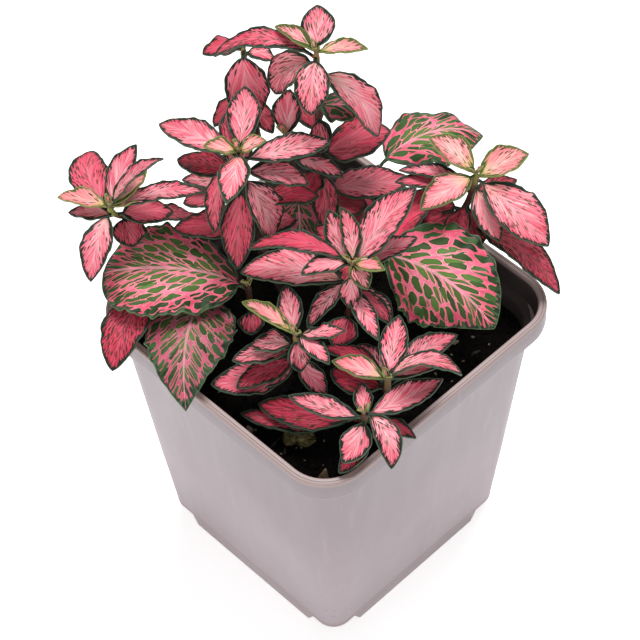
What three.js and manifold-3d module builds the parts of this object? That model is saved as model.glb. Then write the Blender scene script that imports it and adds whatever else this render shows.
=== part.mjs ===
// A potted nerve plant: a square tapered plastic pot filled with soil, and sixteen leafy stems in it.
// Millimetres, +Z up. The pot's visible faces look along -Y and +X.
import * as THREE from 'three';
import { mergeVertices } from 'three/addons/utils/BufferGeometryUtils.js';
import Module from 'manifold-3d';

const wasm = await Module();
wasm.setup();

// Pot, with widths given as half of the square
const rimHalf = 45;
const potHeight = 92;
const collarHeight = 7.2;
const collarStep = 2.6;
const lipWidth = 2.3;
const wallThickness = 1.6;
const wallTopHalf = 42;
const wallBaseHalf = 33.9;
const rimCorner = 12.8;
const wallTopCorner = 12.4;
const wallBaseCorner = 5.5;
const footHeight = 4.2;
const footThickness = 1.6;
const footTopHalfLength = 26;
const footBaseHalfLength = 23;
const floorThickness = 2;
const ledgeDrop = 8.6;
const drainRadius = 3.2;
const drainOffset = 17;
const drainSides = 10;
const cornerSteps = 3;

// Soil
const soilLevel = 80;
const fitGap = 0.3;
const soilRoughness = 0.9;
const soilRingScales = [0.86, 0.7, 0.52, 0.32, 0.14];
const rootDepth = 12;

// Wood stub and bark chip lying on the soil near the front corner
const stubSides = 7;
const stubSlices = 4;
const stubLength = 8;
const stubRadius = 2.4;
const stubKnobble = 0.16;
const stubTurn = 40;
const stubPlace = [17, -33, 81.2];
const chipSides = 5;
const chipWidth = 3.2;
const chipDepth = 1.5;
const chipHeight = 5;
const chipTurn = 30;
const chipPlace = [33, -34.2, 79];

// Stems
const stemBaseRadius = 1.35;
const stemTipRadius = 0.85;
const stemSides = 5;
const stemStations = 6;
const stemHoleSides = 7;

// Leaves: each blade is a thin curved sheet on a short stalk
const bladeThickness = 0.7;
const stalkHalfWidth = 0.7;
const tipHalfWidth = 0.3;
const spineSteps = 16;
const leafKinds = {
  young: { stalk: 0.07, belly: 0.48, fullness: 0.85, cup: 24, wave: 0.25, waves: 2, columns: 3, rows: 5 },
  grown: { stalk: 0.1, belly: 0.48, fullness: 0.78, cup: 12, wave: 0.35, waves: 2, columns: 3, rows: 5 },
  deep: { stalk: 0.12, belly: 0.46, fullness: 0.72, cup: 6, wave: 0.4, waves: 2, columns: 3, rows: 5 },
  netted: { stalk: 0.1, belly: 0.44, fullness: 0.8, cup: -10, wave: 0.8, waves: 3, columns: 5, rows: 8 },
  netlet: { stalk: 0.1, belly: 0.44, fullness: 0.7, cup: -4, wave: 0.5, waves: 2, columns: 3, rows: 5 },
  heart: { stalk: 0.08, belly: 0.36, fullness: 0.9, cup: -10, wave: 0.8, waves: 3, columns: 5, rows: 8 },
  broad: { stalk: 0.08, belly: 0.57, fullness: 0.4, cup: -6, wave: 0.8, waves: 3, columns: 5, rows: 8 },
};

// Each stem: where it stands in the soil, its tip, and its leaves from the top down.
// A leaf is: fall below the tip, compass turn, rise, length, width, curl down, swing aside, roll, kind.
const stems = [
  {
    name: 'leafy_stem_low_left',
    root: [-12, -15],
    tip: [-15, -13.5, 99],
    leaves: [
      [1.9, 221, 5, 41, 32.5, 70, -2, 2, 'broad'],
      [9, 315, -26, 7, 7, 28, 0, 0, 'deep'],
    ],
  },
  {
    name: 'leafy_stem_lowest_left',
    root: [-25, -17],
    tip: [-25, -18, 92.5],
    leaves: [
      [0.9, 294, 6, 46, 24, 61, 29, -1, 'heart'],
      [2, 120, 0, 13, 8, 30, 0, 0, 'deep'],
    ],
  },
  {
    name: 'leafy_stem_corner_left',
    root: [-30, -29],
    tip: [-33, -32, 96],
    leaves: [
      [0, 287, -15, 27, 12.5, 75, 14, 8, 'deep'],
      [1, 110, 0, 12, 7, 30, 0, 0, 'deep'],
    ],
  },
  {
    name: 'leafy_stem_low_right',
    root: [2, 13],
    tip: [4.5, 12.5, 107],
    leaves: [
      [1.3, 22, -13, 40.3, 28.3, 66, -17, 32, 'netted'],
      [1, 92, 12, 24, 12, 25, 0, 0, 'deep'],
      [4, 190, 5, 18, 10, 30, 0, 0, 'deep'],
      [3.4, 271, -28, 11.5, 10, 42, 0, 3, 'deep'],
    ],
  },
  {
    name: 'leafy_stem_back',
    root: [-8, 26],
    tip: [-15.6, 36, 105.4],
    leaves: [
      [0.8, 87, -2, 34, 25.5, 74, -38, -9, 'netted'],
      [8.8, 262, -12, 14, 12, 10, 5, 1, 'deep'],
    ],
  },
  {
    name: 'leafy_stem_tallest',
    root: [-14, 12],
    tip: [-28.5, 27, 146],
    leaves: [
      [0, 125, 25, 13, 9, 25, 16, 3, 'grown'],
      [0, 196, 17, 13, 5.2, 46, 0, -3, 'young'],
      [0, 34, 12, 14, 5.5, 34, 4, 6, 'young'],
      [1.5, 305, -30, 16.5, 9.5, 62, 8, -4, 'grown'],
      [6.5, 15, -41, 26, 12, 84, 0, -5, 'grown'],
      [2.5, 206, -7, 31, 7, 96, 18, 0, 'deep'],
      [4, 213, -36, 16, 11.3, 90, 62, 0, 'grown'],
      [26, 165, 15, 16, 9, 20, -30, 0, 'deep'],
      [32, 51, 19, 20.5, 15, 25, 3, 0, 'deep'],
      [35.5, 335, -41, 17, 7.5, 50, -34, 5, 'deep'],
      [40, 50, -5, 25, 11.5, 13, 21, 4, 'deep'],
      [17.3, 36, 1, 12, 12, 28, 1, 0, 'netlet'],
      [44, 40, -8, 13, 12, 40, 10, 0, 'deep'],
      [35.5, 284, -11, 10, 8, 45, 10, 0, 'deep'],
      [20.4, 328, -39, 10, 6, 25, -18, 1, 'deep'],
    ],
  },
  {
    name: 'leafy_stem_upper_left',
    root: [-12, -3],
    tip: [-27.5, -2.5, 132],
    leaves: [
      [0, 121, 21, 18.5, 9, 27, 18, -3, 'grown'],
      [0, 314, 2, 18.5, 8.3, 30, -14, 3, 'grown'],
      [0, 228, 18, 9.5, 6, 30, 0, 0, 'young'],
      [0, 53, 24, 8, 5.5, 30, 0, 0, 'young'],
      [2, 196, -6, 27, 9, 42, -12, -8, 'grown'],
      [3, 57, -4, 25, 8.5, 23, 13, 8, 'grown'],
      [8, 202, -13, 21, 8.5, 30, -15, -7, 'deep'],
      [7, 46, -13, 18.2, 8, 36, -10, 4, 'grown'],
      [10.5, 303, -46, 23, 9.2, 26, 10, 4, 'deep'],
      [20, 242, -30, 12, 7.5, 30, 0, 0, 'deep'],
      [8, 2, -62, 21.5, 11.5, 60, 10, -5, 'grown'],
      [1.5, 264, -42, 22, 6, 55, 60, 8, 'deep'],
      [24.7, 228, 1, 22, 10.5, 28, 0, 0, 'deep'],
      [1, 174, 26, 12.7, 5, 5, -50, 4, 'deep'],
      [16, 60, -15, 20, 9, 25, 0, 0, 'deep'],
    ],
  },
  {
    name: 'leafy_stem_centre',
    root: [4, 3],
    tip: [13.3, -2.8, 121],
    leaves: [
      [1, 167, 29, 16, 7.5, 4, -16, -4, 'young'],
      [1, 123, 37, 16, 5.5, 26, 48, -3, 'young'],
      [0, 26, 7, 9, 5.5, 40, 0, 0, 'young'],
      [0, 345, -10, 8, 6, 40, 0, 0, 'young'],
      [1.5, 74, 0, 19.5, 7.2, 22, 4, -3, 'grown'],
      [0, 235, 7, 14, 6, 46, 18, -1, 'grown'],
      [5.5, 258, -25, 17.2, 5.8, 27, 18, 4, 'grown'],
      [9, 328, -2, 19, 5.8, 30, 15, -2, 'grown'],
      [3, 90, 34, 27.3, 11.6, 38, -5, -5, 'grown'],
      [9.7, 3, -20, 14.5, 5, 60, 0, 0, 'deep'],
      [9, 209, -3, 30.4, 11.5, 56, 8, -6, 'grown'],
      [0.3, 205, -2, 30, 6.5, 88, 12, 2, 'deep'],
      [26, 298, -20, 10, 9, 0, -15, 0, 'deep'],
      [10, 31, -15, 14, 5.2, 34, -44, 2, 'grown'],
      [3.3, 308, -47, 9, 6, 34, -1, 3, 'grown'],
    ],
  },
  {
    name: 'leafy_stem_far_left',
    root: [-28, -5],
    tip: [-47, -31, 119],
    bow: [-5, 15],
    leaves: [
      [0, 111, 37, 17.8, 7.5, 32, -13, 0, 'grown'],
      [0, 217, 8, 14, 6.5, 35, 0, 0, 'young'],
      [0, 58, 11, 11, 6.5, 30, 0, 0, 'young'],
      [2, 292, -17, 20.7, 8.4, 36, 18, 2, 'grown'],
      [5, 212, -9, 14, 6, 25, 0, 0, 'grown'],
      [4, 55.5, -12, 15.6, 9, 22, 5, 5, 'deep'],
      [0.5, 187, 3, 22, 10.5, 50, -72, -8, 'deep'],
      [6.5, 341, -28, 9, 10, 45, -7, -15, 'deep'],
      [8.5, 56, -18, 20, 7, 35, 5, -4, 'deep'],
      [0.7, 67, 42, 23, 6, 45, -25, -5, 'grown'],
      [0.2, 68, 19, 15, 6, 30, 40, 3, 'young'],
      [0.5, 52, 4, 26, 6.5, 40, -7, 2, 'grown'],
    ],
  },
  {
    name: 'leafy_stem_right',
    root: [6, 20],
    tip: [13, 43.4, 118],
    leaves: [
      [0, 186, 17, 16, 10, 28, 4, 5, 'young'],
      [0.3, 263, 4, 20, 9.4, 9, 7, -10, 'young'],
      [1.3, 66.5, 12.7, 15.3, 10, 19, -3, 5, 'young'],
      [1.5, 5, -21, 26.3, 13.3, 26, -1, 5, 'grown'],
      [3.5, 330, -22, 17.3, 7.8, 20, 15, 0, 'grown'],
      [8, 70, 0, 14, 6.5, 25, 0, 0, 'deep'],
      [13, 239, 9, 16, 11.5, 34, -1, 1, 'deep'],
      [6.5, 217, 14, 21, 6.5, 23, 18, 0, 'deep'],
      [14.4, 15, -17.5, 35.5, 10.5, 68, -11, -6, 'deep'],
      [10, 291, -15, 14.5, 7, 41, 11, 1, 'deep'],
      [12, 210, 1, 19, 10, 45, 38, 0, 'deep'],
      [4.2, 213, 9, 20.7, 5.2, 41, 7, -2, 'grown'],
      [10, 325, -30, 13, 9, 25, 0, 0, 'deep'],
    ],
  },
  {
    name: 'leafy_stem_front',
    root: [24, -14],
    tip: [39, -24.7, 104],
    leaves: [
      [3, 216, 4, 20.3, 7, 12, -19, -3, 'young'],
      [1.3, 69, 3.5, 22.2, 8.2, 9, 18, 6, 'young'],
      [2.8, 303, -22, 12.8, 8.2, 4, -34, 0, 'grown'],
      [0.3, 9, -15, 17.4, 6.8, 58, -62, -2, 'grown'],
      [3, 139, 18, 9.6, 5, 20, 0, 0, 'grown'],
      [6, 308, -32, 15, 6.5, 0, -40, 0, 'deep'],
      [6, 50, -27, 14.5, 5, 40, -25, -3, 'deep'],
      [12.5, 212, -8, 28, 10.6, 5, -10, -6, 'deep'],
      [14, 224, -9, 32, 8.5, -5, -20, 4, 'deep'],
    ],
  },
  {
    name: 'leafy_stem_front_right',
    root: [22, -2],
    tip: [37, -14.5, 106],
    leaves: [
      [0, 124, 27, 17.5, 7.5, 10, 0, 0, 'grown'],
      [0, 204, 4, 15, 7, 20, 0, 0, 'young'],
      [0, 62, 7, 15.5, 6.5, 25, 0, 0, 'young'],
      [0.3, 64, 8, 22, 8.6, 98, -48, -24, 'grown'],
      [7.3, 98, -3, 27, 8, 48, -16, 3, 'grown'],
      [6, 200, -8, 16.6, 9.3, 12, -8, -7, 'deep'],
      [3.5, 169, -5, 22.4, 6.8, 45, 31, 12, 'deep'],
      [8, 154, -10, 20, 6, 65, 11, -12, 'grown'],
      [1, 86, -4, 18.5, 6, 70, -32, 2, 'deep'],
    ],
  },
  {
    name: 'leafy_stem_front_left',
    root: [4, -14],
    tip: [11.7, -21.6, 108],
    leaves: [
      [0, 134, 20, 14, 6.5, 10, 0, 0, 'grown'],
      [0, 189, 4, 18, 5, 56, -1, -8, 'young'],
      [4, 219, -8, 12, 7, 40, 0, 0, 'grown'],
      [6.8, 228, -4, 17, 8.2, 24, 3, 4, 'grown'],
      [13, 265, -21, 14.3, 7, -5, -38, -1, 'grown'],
      [11.8, 353, -32, 12.7, 6.8, 0, 16, 3, 'grown'],
      [15.5, 258, -5, 24, 11, -8, -28, -4, 'deep'],
      [14, 256, -14, 18.5, 8, 25, 0, 0, 'deep'],
      [0, 353, 6, 13.8, 5.4, 42, 3, -1, 'grown'],
      [0, 37, 15, 13.3, 5.8, 32, 30, -11, 'grown'],
      [0.9, 321, -52, 9, 6, 22, 11, -5, 'grown'],
    ],
  },
  {
    name: 'leafy_stem_middle_back',
    root: [-6, 6],
    tip: [-30, 17, 121],
    leaves: [
      [0.5, 143, 44, 13, 8, 22, -24, -4, 'grown'],
      [0, 225, 55, 5, 3.5, 10, 0, 0, 'young'],
      [7.5, 27, 9, 17.2, 6.3, 34, -4, 0, 'grown'],
      [22, 250, 6, 20, 10, 50, 0, 0, 'deep'],
      [13.6, 328, -35.5, 18.5, 12, 38, -20, 9, 'netlet'],
    ],
  },
  {
    name: 'leafy_stem_behind_tallest',
    root: [-33, 15],
    tip: [-49.5, 20.5, 138],
    leaves: [
      [0.3, 313, -50, 19.5, 12, 22, 30, 4, 'deep'],
      [1, 222, 0, 11.5, 7, 72, 18, 0, 'deep'],
      [2, 32, -5, 9, 5, 50, 0, 0, 'grown'],
      [16, 240, -33, 13.5, 6, 60, 25, 0, 'deep'],
      [26, 230, -20, 12, 8, 30, 0, 0, 'deep'],
      [16, 352, -39, 12, 6, 21, 9, 2, 'deep'],
    ],
  },
  {
    name: 'leafy_stem_back_left',
    root: [-24, 2],
    tip: [-42, 8, 104],
    leaves: [
      [0, 130, 20, 13, 8, 25, 0, 0, 'grown'],
      [2, 209, -14, 16.4, 7, 10, 0, -2, 'grown'],
      [4, 165, -5, 17, 9, 30, 0, 0, 'deep'],
      [5, 240, -5, 16, 9, 30, 0, 0, 'deep'],
    ],
  },
];

// A leaf is bent aside by the first of these rise and turn changes that clears its neighbours
const bends = [
  [0, 0], [5, 0], [-5, 0], [0, 6], [0, -6], [9, 0], [-9, 0], [5, 7], [5, -7], [-5, 7], [-5, -7],
  [14, 0], [-14, 0], [0, 13], [0, -13], [9, 12], [9, -12], [-9, 12], [-9, -12], [20, 0], [-20, 0],
  [14, 16], [14, -16], [-14, 16], [-14, -16], [0, 22], [0, -22], [26, 0], [-26, 0], [20, 20], [20, -20],
];
const neighbourGap = 1.5;
const ownGap = 1.2;
const stemGap = 2.1;
const rimGap = 1.2;
const enoughRoom = 0.5;

const pink = new THREE.MeshStandardMaterial({ color: 0xe0607c, roughness: 0.5, metalness: 0 });
const plastic = new THREE.MeshStandardMaterial({ color: 0xb5a9ae, roughness: 0.45, metalness: 0 });
const darkSoil = new THREE.MeshStandardMaterial({ color: 0x1f1a17, roughness: 0.95, metalness: 0 });
const wood = new THREE.MeshStandardMaterial({ color: 0x8d8a68, roughness: 0.9, metalness: 0 });
const bark = new THREE.MeshStandardMaterial({ color: 0xc9ad8c, roughness: 0.9, metalness: 0 });

const radians = THREE.MathUtils.degToRad;

// Solids

function geometryFrom(points, faces) {
  const geometry = new THREE.BufferGeometry();
  geometry.setAttribute('position', new THREE.Float32BufferAttribute(points.flat(), 3));
  geometry.setIndex(faces.flat());
  return geometry;
}

function solidFrom(geometry) {
  const bare = geometry.clone();
  bare.deleteAttribute('normal');
  bare.deleteAttribute('uv');
  const merged = mergeVertices(bare, 1e-4);
  const vertProperties = new Float32Array(merged.attributes.position.array);
  const triVerts = new Uint32Array(merged.index.array);
  return new wasm.Manifold(new wasm.Mesh({ numProp: 3, vertProperties, triVerts }));
}

function meshFrom(solid, name, material) {
  const { vertProperties, triVerts } = solid.getMesh();
  const geometry = new THREE.BufferGeometry();
  geometry.setAttribute('position', new THREE.Float32BufferAttribute(vertProperties, 3));
  geometry.setIndex(Array.from(triVerts));
  geometry.computeVertexNormals();
  const mesh = new THREE.Mesh(geometry, material);
  mesh.name = name;
  return mesh;
}

// Rings of equal length joined into one closed body, with a point at each end
function loft(rings, start, end) {
  const points = [start, ...rings.flat(), end];
  const count = rings[0].length;
  const last = points.length - 1;
  const faces = [];
  for (let i = 0; i < count; i += 1) {
    const j = (i + 1) % count;
    faces.push([0, 1 + j, 1 + i]);
    for (let r = 0; r < rings.length - 1; r += 1) {
      const low = 1 + r * count;
      const high = low + count;
      faces.push([low + i, low + j, high + j], [low + i, high + j, high + i]);
    }
    const top = 1 + (rings.length - 1) * count;
    faces.push([top + i, top + j, last]);
  }
  return geometryFrom(points, faces);
}

// Pot

function roundedSquare(half, corner, z) {
  const ring = [];
  for (let quarter = 0; quarter < 4; quarter += 1) {
    const middle = radians(45 + 90 * quarter);
    const centreX = Math.sign(Math.cos(middle)) * (half - corner);
    const centreY = Math.sign(Math.sin(middle)) * (half - corner);
    for (let step = 0; step <= cornerSteps; step += 1) {
      const angle = radians(90 * quarter + 90 * step / cornerSteps);
      ring.push([centreX + corner * Math.cos(angle), centreY + corner * Math.sin(angle), z]);
    }
  }
  return ring;
}

const wallTop = potHeight - collarHeight;
const floorTop = footHeight + floorThickness;

function wallHalfAt(z) {
  return THREE.MathUtils.mapLinear(z, footHeight, wallTop, wallBaseHalf, wallTopHalf);
}

function wallCornerAt(z) {
  return THREE.MathUtils.mapLinear(z, footHeight, wallTop, wallBaseCorner, wallTopCorner);
}

function innerWall(z, gap) {
  const inset = wallThickness + gap;
  return roundedSquare(wallHalfAt(z) - inset, Math.max(wallCornerAt(z) - inset, 2), z);
}

function makePot() {
  const lipInner = rimHalf - lipWidth;
  const body = loft([
    roundedSquare(wallBaseHalf - 0.5, wallBaseCorner, footHeight),
    roundedSquare(wallBaseHalf, wallBaseCorner, footHeight + 0.5),
    roundedSquare(wallTopHalf, wallTopCorner, wallTop - 1),
    roundedSquare(wallTopHalf + 0.5, wallTopCorner, wallTop - 0.3),
    roundedSquare(wallTopHalf + collarStep, rimCorner - 0.3, wallTop + 0.3),
    roundedSquare(rimHalf - 0.2, rimCorner, wallTop + 1),
    roundedSquare(rimHalf, rimCorner, potHeight - 0.6),
    roundedSquare(rimHalf - 0.5, rimCorner - 0.4, potHeight),
    roundedSquare(lipInner + 0.3, rimCorner - lipWidth, potHeight),
    roundedSquare(lipInner, rimCorner - lipWidth, potHeight - 0.5),
    roundedSquare(lipInner - 0.5, rimCorner - lipWidth - 0.5, potHeight - ledgeDrop + 1),
    roundedSquare(wallTopHalf - wallThickness, wallTopCorner - wallThickness, potHeight - ledgeDrop),
    innerWall(wallTop - 2, 0),
    innerWall(floorTop, 0),
  ], [0, 0, footHeight], [0, 0, floorTop]);
  let pot = solidFrom(body);

  const outline = new THREE.Shape();
  outline.moveTo(-footBaseHalfLength, 0);
  outline.lineTo(footBaseHalfLength, 0);
  outline.lineTo(footTopHalfLength, footHeight);
  outline.lineTo(footTopHalfLength, footHeight + 1);
  outline.lineTo(-footTopHalfLength, footHeight + 1);
  outline.lineTo(-footTopHalfLength, footHeight);
  for (let side = 0; side < 4; side += 1) {
    const foot = new THREE.ExtrudeGeometry(outline, { depth: footThickness, bevelEnabled: false });
    foot.rotateX(radians(90));
    foot.translate(0, -(wallBaseHalf - 0.5 - footThickness), 0);
    foot.rotateZ(radians(90 * side));
    pot = pot.add(solidFrom(foot));
  }

  const drains = [[0, 0]];
  for (const x of [-drainOffset, drainOffset]) {
    for (const y of [-drainOffset, drainOffset]) {
      drains.push([x, y]);
    }
  }
  for (const [x, y] of drains) {
    const hole = new THREE.CylinderGeometry(drainRadius, drainRadius, floorThickness * 3, drainSides);
    hole.rotateX(radians(90));
    hole.translate(x, y, footHeight + floorThickness / 2);
    pot = pot.subtract(solidFrom(hole));
  }
  return pot;
}

// Soil

function soilHeight(x, y) {
  const swell = Math.sin(x / 7 + 1) * Math.cos(y / 6);
  const grain = Math.sin(x / 2.7 + y / 3.4);
  return soilLevel + soilRoughness * (0.7 * swell + 0.4 * grain);
}

function makeSoil() {
  const edge = innerWall(soilLevel, fitGap);
  const bottom = innerWall(floorTop + fitGap, fitGap);
  const rings = [bottom, edge];
  for (const scale of soilRingScales) {
    rings.push(edge.map(([x, y]) => [x * scale, y * scale, soilHeight(x * scale, y * scale)]));
  }
  return solidFrom(loft(rings, [0, 0, floorTop + fitGap], [0, 0, soilHeight(0, 0)]));
}

function stemHole([x, y]) {
  const radius = stemBaseRadius + fitGap + 0.1;
  const depth = rootDepth + fitGap;
  const hole = new THREE.CylinderGeometry(radius, radius, depth + 4, stemHoleSides);
  hole.rotateX(radians(90));
  hole.translate(x, y, soilLevel - depth + (depth + 4) / 2);
  return solidFrom(hole);
}

// Stub and chip, which keep a gap from the soil around them

function makeStub(gap) {
  const rings = [];
  for (let slice = 0; slice < stubSlices; slice += 1) {
    const along = slice / (stubSlices - 1);
    const swell = 0.75 + 0.25 * Math.sin(Math.PI * (0.2 + 0.75 * along));
    const ring = [];
    for (let side = 0; side < stubSides; side += 1) {
      const angle = radians(360 * side / stubSides);
      const knobble = 1 + stubKnobble * Math.sin(3 * angle + 4 * along);
      const radius = stubRadius * swell * knobble + gap;
      ring.push([radius * Math.cos(angle), radius * Math.sin(angle), (stubLength + 2 * gap) * along - gap]);
    }
    rings.push(ring);
  }
  const stub = loft(rings, [0, 0, -gap], [0, 0, stubLength + gap]);
  stub.rotateY(radians(90));
  stub.rotateZ(radians(stubTurn));
  stub.translate(...stubPlace);
  return solidFrom(stub);
}

function makeChip(gap) {
  const rings = [];
  for (const [along, scale] of [[0, 0.9], [0.4, 1], [0.85, 0.45]]) {
    const ring = [];
    for (let side = 0; side < chipSides; side += 1) {
      const angle = radians(360 * side / chipSides);
      const x = (chipWidth / 2 * scale + gap) * Math.cos(angle);
      const y = (chipDepth / 2 * scale + gap) * Math.sin(angle);
      ring.push([x + 0.6 * along, y, chipHeight * along - gap]);
    }
    rings.push(ring);
  }
  const chip = loft(rings, [0, 0, -gap], [0.8, 0, chipHeight]);
  chip.rotateZ(radians(chipTurn));
  chip.translate(...chipPlace);
  return solidFrom(chip);
}

// Stems

// A stem rises straight out of the soil, leans across and straightens again, bowing aside on the way
function stemPoint({ root, tip, bow = [0, 0] }, z) {
  const start = soilLevel + 1;
  const height = Math.max(0, (z - start) / (tip[2] - start));
  const eased = height ** 0.7;
  const lean = eased * eased * (3 - 2 * eased);
  const bulge = 4 * lean * (1 - lean);
  return new THREE.Vector3(
    root[0] + (tip[0] - root[0]) * lean + bow[0] * bulge,
    root[1] + (tip[1] - root[1]) * lean + bow[1] * bulge,
    z,
  );
}

function makeStem(stem) {
  const rings = [];
  const heights = [soilLevel - rootDepth];
  for (let i = 0; i <= stemStations; i += 1) {
    heights.push(THREE.MathUtils.lerp(soilLevel + 1, stem.tip[2], i / stemStations));
  }
  for (const z of heights) {
    const along = THREE.MathUtils.inverseLerp(soilLevel - rootDepth, stem.tip[2], z);
    const centre = stemPoint(stem, z);
    const radius = THREE.MathUtils.lerp(stemBaseRadius, stemTipRadius, along);
    const ring = [];
    for (let side = 0; side < stemSides; side += 1) {
      const angle = radians(360 * side / stemSides);
      ring.push([centre.x + radius * Math.cos(angle), centre.y + radius * Math.sin(angle), centre.z]);
    }
    rings.push(ring);
  }
  const [x, y, z] = stem.tip;
  return solidFrom(loft(rings, [stem.root[0], stem.root[1], soilLevel - rootDepth], [x, y, z + stemTipRadius]));
}

// Leaves

function readLeaf(row, base) {
  const [, turn, rise, length, width, curl, swing, roll, kind] = row;
  return { ...leafKinds[kind], base, turn, rise, length, width, curl, swing, roll };
}

function slopeAt(leaf, u) {
  return radians(leaf.rise + leaf.curl * (0.5 - u));
}

function headingAt(leaf, u) {
  return radians(leaf.turn + leaf.swing * u);
}

// The leaf's middle line, walked in short steps from the stem to the tip
function withSpine(leaf) {
  const spine = [[leaf.base.x, leaf.base.y, leaf.base.z]];
  for (let step = 0; step < spineSteps; step += 1) {
    const u = (step + 0.5) / spineSteps;
    const slope = slopeAt(leaf, u);
    const heading = headingAt(leaf, u);
    const stride = leaf.length / spineSteps;
    const [x, y, z] = spine[step];
    spine.push([
      x + stride * Math.cos(slope) * Math.cos(heading),
      y + stride * Math.cos(slope) * Math.sin(heading),
      z + stride * Math.sin(slope),
    ]);
  }
  return { ...leaf, spine };
}

// A point of the blade: u runs along the leaf, v across it, lift along its thickness
function bladePoint(leaf, u, v, lift) {
  const blade = Math.max(0, (u - leaf.stalk) / (1 - leaf.stalk));
  const skew = Math.log(0.5) / Math.log(leaf.belly);
  const shape = Math.max(0, Math.sin(Math.PI * blade ** skew)) ** leaf.fullness;
  const least = u > 0.5 ? tipHalfWidth : stalkHalfWidth;
  const half = Math.max(least, leaf.width / 2 * shape);

  const cup = radians(leaf.cup);
  const phase = v > 0 ? 0 : 2;
  const ripple = leaf.wave * shape * Math.abs(v) ** 1.5 * Math.sin(2 * Math.PI * leaf.waves * blade + phase);
  const across = half * v * Math.cos(cup);
  const raised = (half - least) * Math.abs(v) ** 1.3 * Math.sin(cup) + ripple + lift;

  const roll = radians(leaf.roll);
  const sideways = across * Math.cos(roll) - raised * Math.sin(roll);
  const normal = across * Math.sin(roll) + raised * Math.cos(roll);
  const slope = slopeAt(leaf, u);
  const heading = headingAt(leaf, u);
  const node = Math.min(spineSteps - 1, Math.floor(u * spineSteps));
  const part = u * spineSteps - node;
  const low = leaf.spine[node];
  const high = leaf.spine[node + 1];
  return [
    low[0] + (high[0] - low[0]) * part - sideways * Math.sin(heading) - normal * Math.sin(slope) * Math.cos(heading),
    low[1] + (high[1] - low[1]) * part + sideways * Math.cos(heading) - normal * Math.sin(slope) * Math.sin(heading),
    low[2] + (high[2] - low[2]) * part + normal * Math.cos(slope),
  ];
}

function makeBlade(leaf) {
  const { rows, columns, stalk } = leaf;
  const stations = [0];
  for (let row = 0; row < rows; row += 1) {
    stations.push(stalk + (1 - stalk) * (0.5 - 0.5 * Math.cos(Math.PI * (row + 0.25) / (rows - 0.75))));
  }
  const count = stations.length;
  const points = [];
  for (const lift of [bladeThickness / 2, -bladeThickness / 2]) {
    for (const u of stations) {
      for (let column = 0; column < columns; column += 1) {
        points.push(bladePoint(leaf, u, 2 * column / (columns - 1) - 1, lift));
      }
    }
  }
  const top = (row, column) => row * columns + column;
  const under = (row, column) => (count + row) * columns + column;
  const faces = [];
  const quad = (a, b, c, d) => faces.push([a, b, c], [a, c, d]);
  for (let row = 0; row < count - 1; row += 1) {
    for (let column = 0; column < columns - 1; column += 1) {
      quad(top(row, column), top(row + 1, column), top(row + 1, column + 1), top(row, column + 1));
      faces.push([under(row, column), under(row + 1, column + 1), under(row + 1, column)]);
      faces.push([under(row, column), under(row, column + 1), under(row + 1, column + 1)]);
    }
    const right = columns - 1;
    quad(top(row, 0), under(row, 0), under(row + 1, 0), top(row + 1, 0));
    quad(under(row, right), top(row, right), top(row + 1, right), under(row + 1, right));
  }
  for (let column = 0; column < columns - 1; column += 1) {
    const end = count - 1;
    quad(top(0, column), top(0, column + 1), under(0, column + 1), under(0, column));
    quad(top(end, column + 1), top(end, column), under(end, column), under(end, column + 1));
  }
  return solidFrom(geometryFrom(points, faces));
}

// Keeping leaves clear of each other, of other stems, of the rim and of the soil

const sampleSpacing = 2;
const placed = [];

function leafSamples(leaf) {
  const samples = [];
  const alongCount = Math.ceil(leaf.length / sampleSpacing);
  const acrossCount = Math.ceil(leaf.width / sampleSpacing) + 1;
  for (let i = 1; i <= alongCount; i += 1) {
    for (let j = 0; j < acrossCount; j += 1) {
      const u = i / alongCount;
      const v = 2 * j / (acrossCount - 1) - 1;
      samples.push({ u, place: bladePoint(leaf, u, 0.95 * v, 0) });
    }
  }
  return samples;
}

function potClearance([x, y, z]) {
  const reach = Math.max(Math.abs(x), Math.abs(y));
  if (z > potHeight + rimGap) {
    return 1;
  }
  if (reach > rimHalf + rimGap) {
    return 1;
  }
  const inside = rimHalf - lipWidth - 2 * rimGap;
  return reach < inside && z > soilLevel + 3 ? 1 : -1;
}

// How much more room than it needs a leaf has, up to enoughRoom
function clearance(samples, stemIndex) {
  let least = enoughRoom;
  for (const { u, place } of samples) {
    if (potClearance(place) < 0) {
      least = Math.min(least, -1);
    }
    for (const other of placed) {
      const own = other.stemIndex === stemIndex;
      const far = Math.abs(place[2] - other.place[2]) > stemGap + enoughRoom;
      if (far || (own && (other.isStem || u < 0.45 || other.u < 0.45))) {
        continue;
      }
      let gap = own ? ownGap : neighbourGap;
      if (other.isStem) {
        gap = stemGap;
      }
      const spread = Math.hypot(
        place[0] - other.place[0],
        place[1] - other.place[1],
        place[2] - other.place[2],
      );
      least = Math.min(least, spread - gap);
    }
  }
  return least;
}

function settle(row, base, stemIndex) {
  let best = null;
  for (const [moreRise, moreTurn] of bends) {
    const plain = readLeaf(row, base);
    const leaf = withSpine({ ...plain, rise: plain.rise + moreRise, turn: plain.turn + moreTurn });
    const samples = leafSamples(leaf);
    const room = clearance(samples, stemIndex);
    if (best === null || room > best.room) {
      best = { leaf, samples, room };
    }
    if (room > 0) {
      break;
    }
  }
  for (const sample of best.samples) {
    placed.push({ ...sample, stemIndex, isStem: false });
  }
  return best.leaf;
}

// The whole plant

stems.forEach((stem, stemIndex) => {
  for (let z = soilLevel; z <= stem.tip[2]; z += 2) {
    const { x, y } = stemPoint(stem, z);
    placed.push({ place: [x, y, z], u: 1, stemIndex, isStem: true });
  }
});

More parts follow.
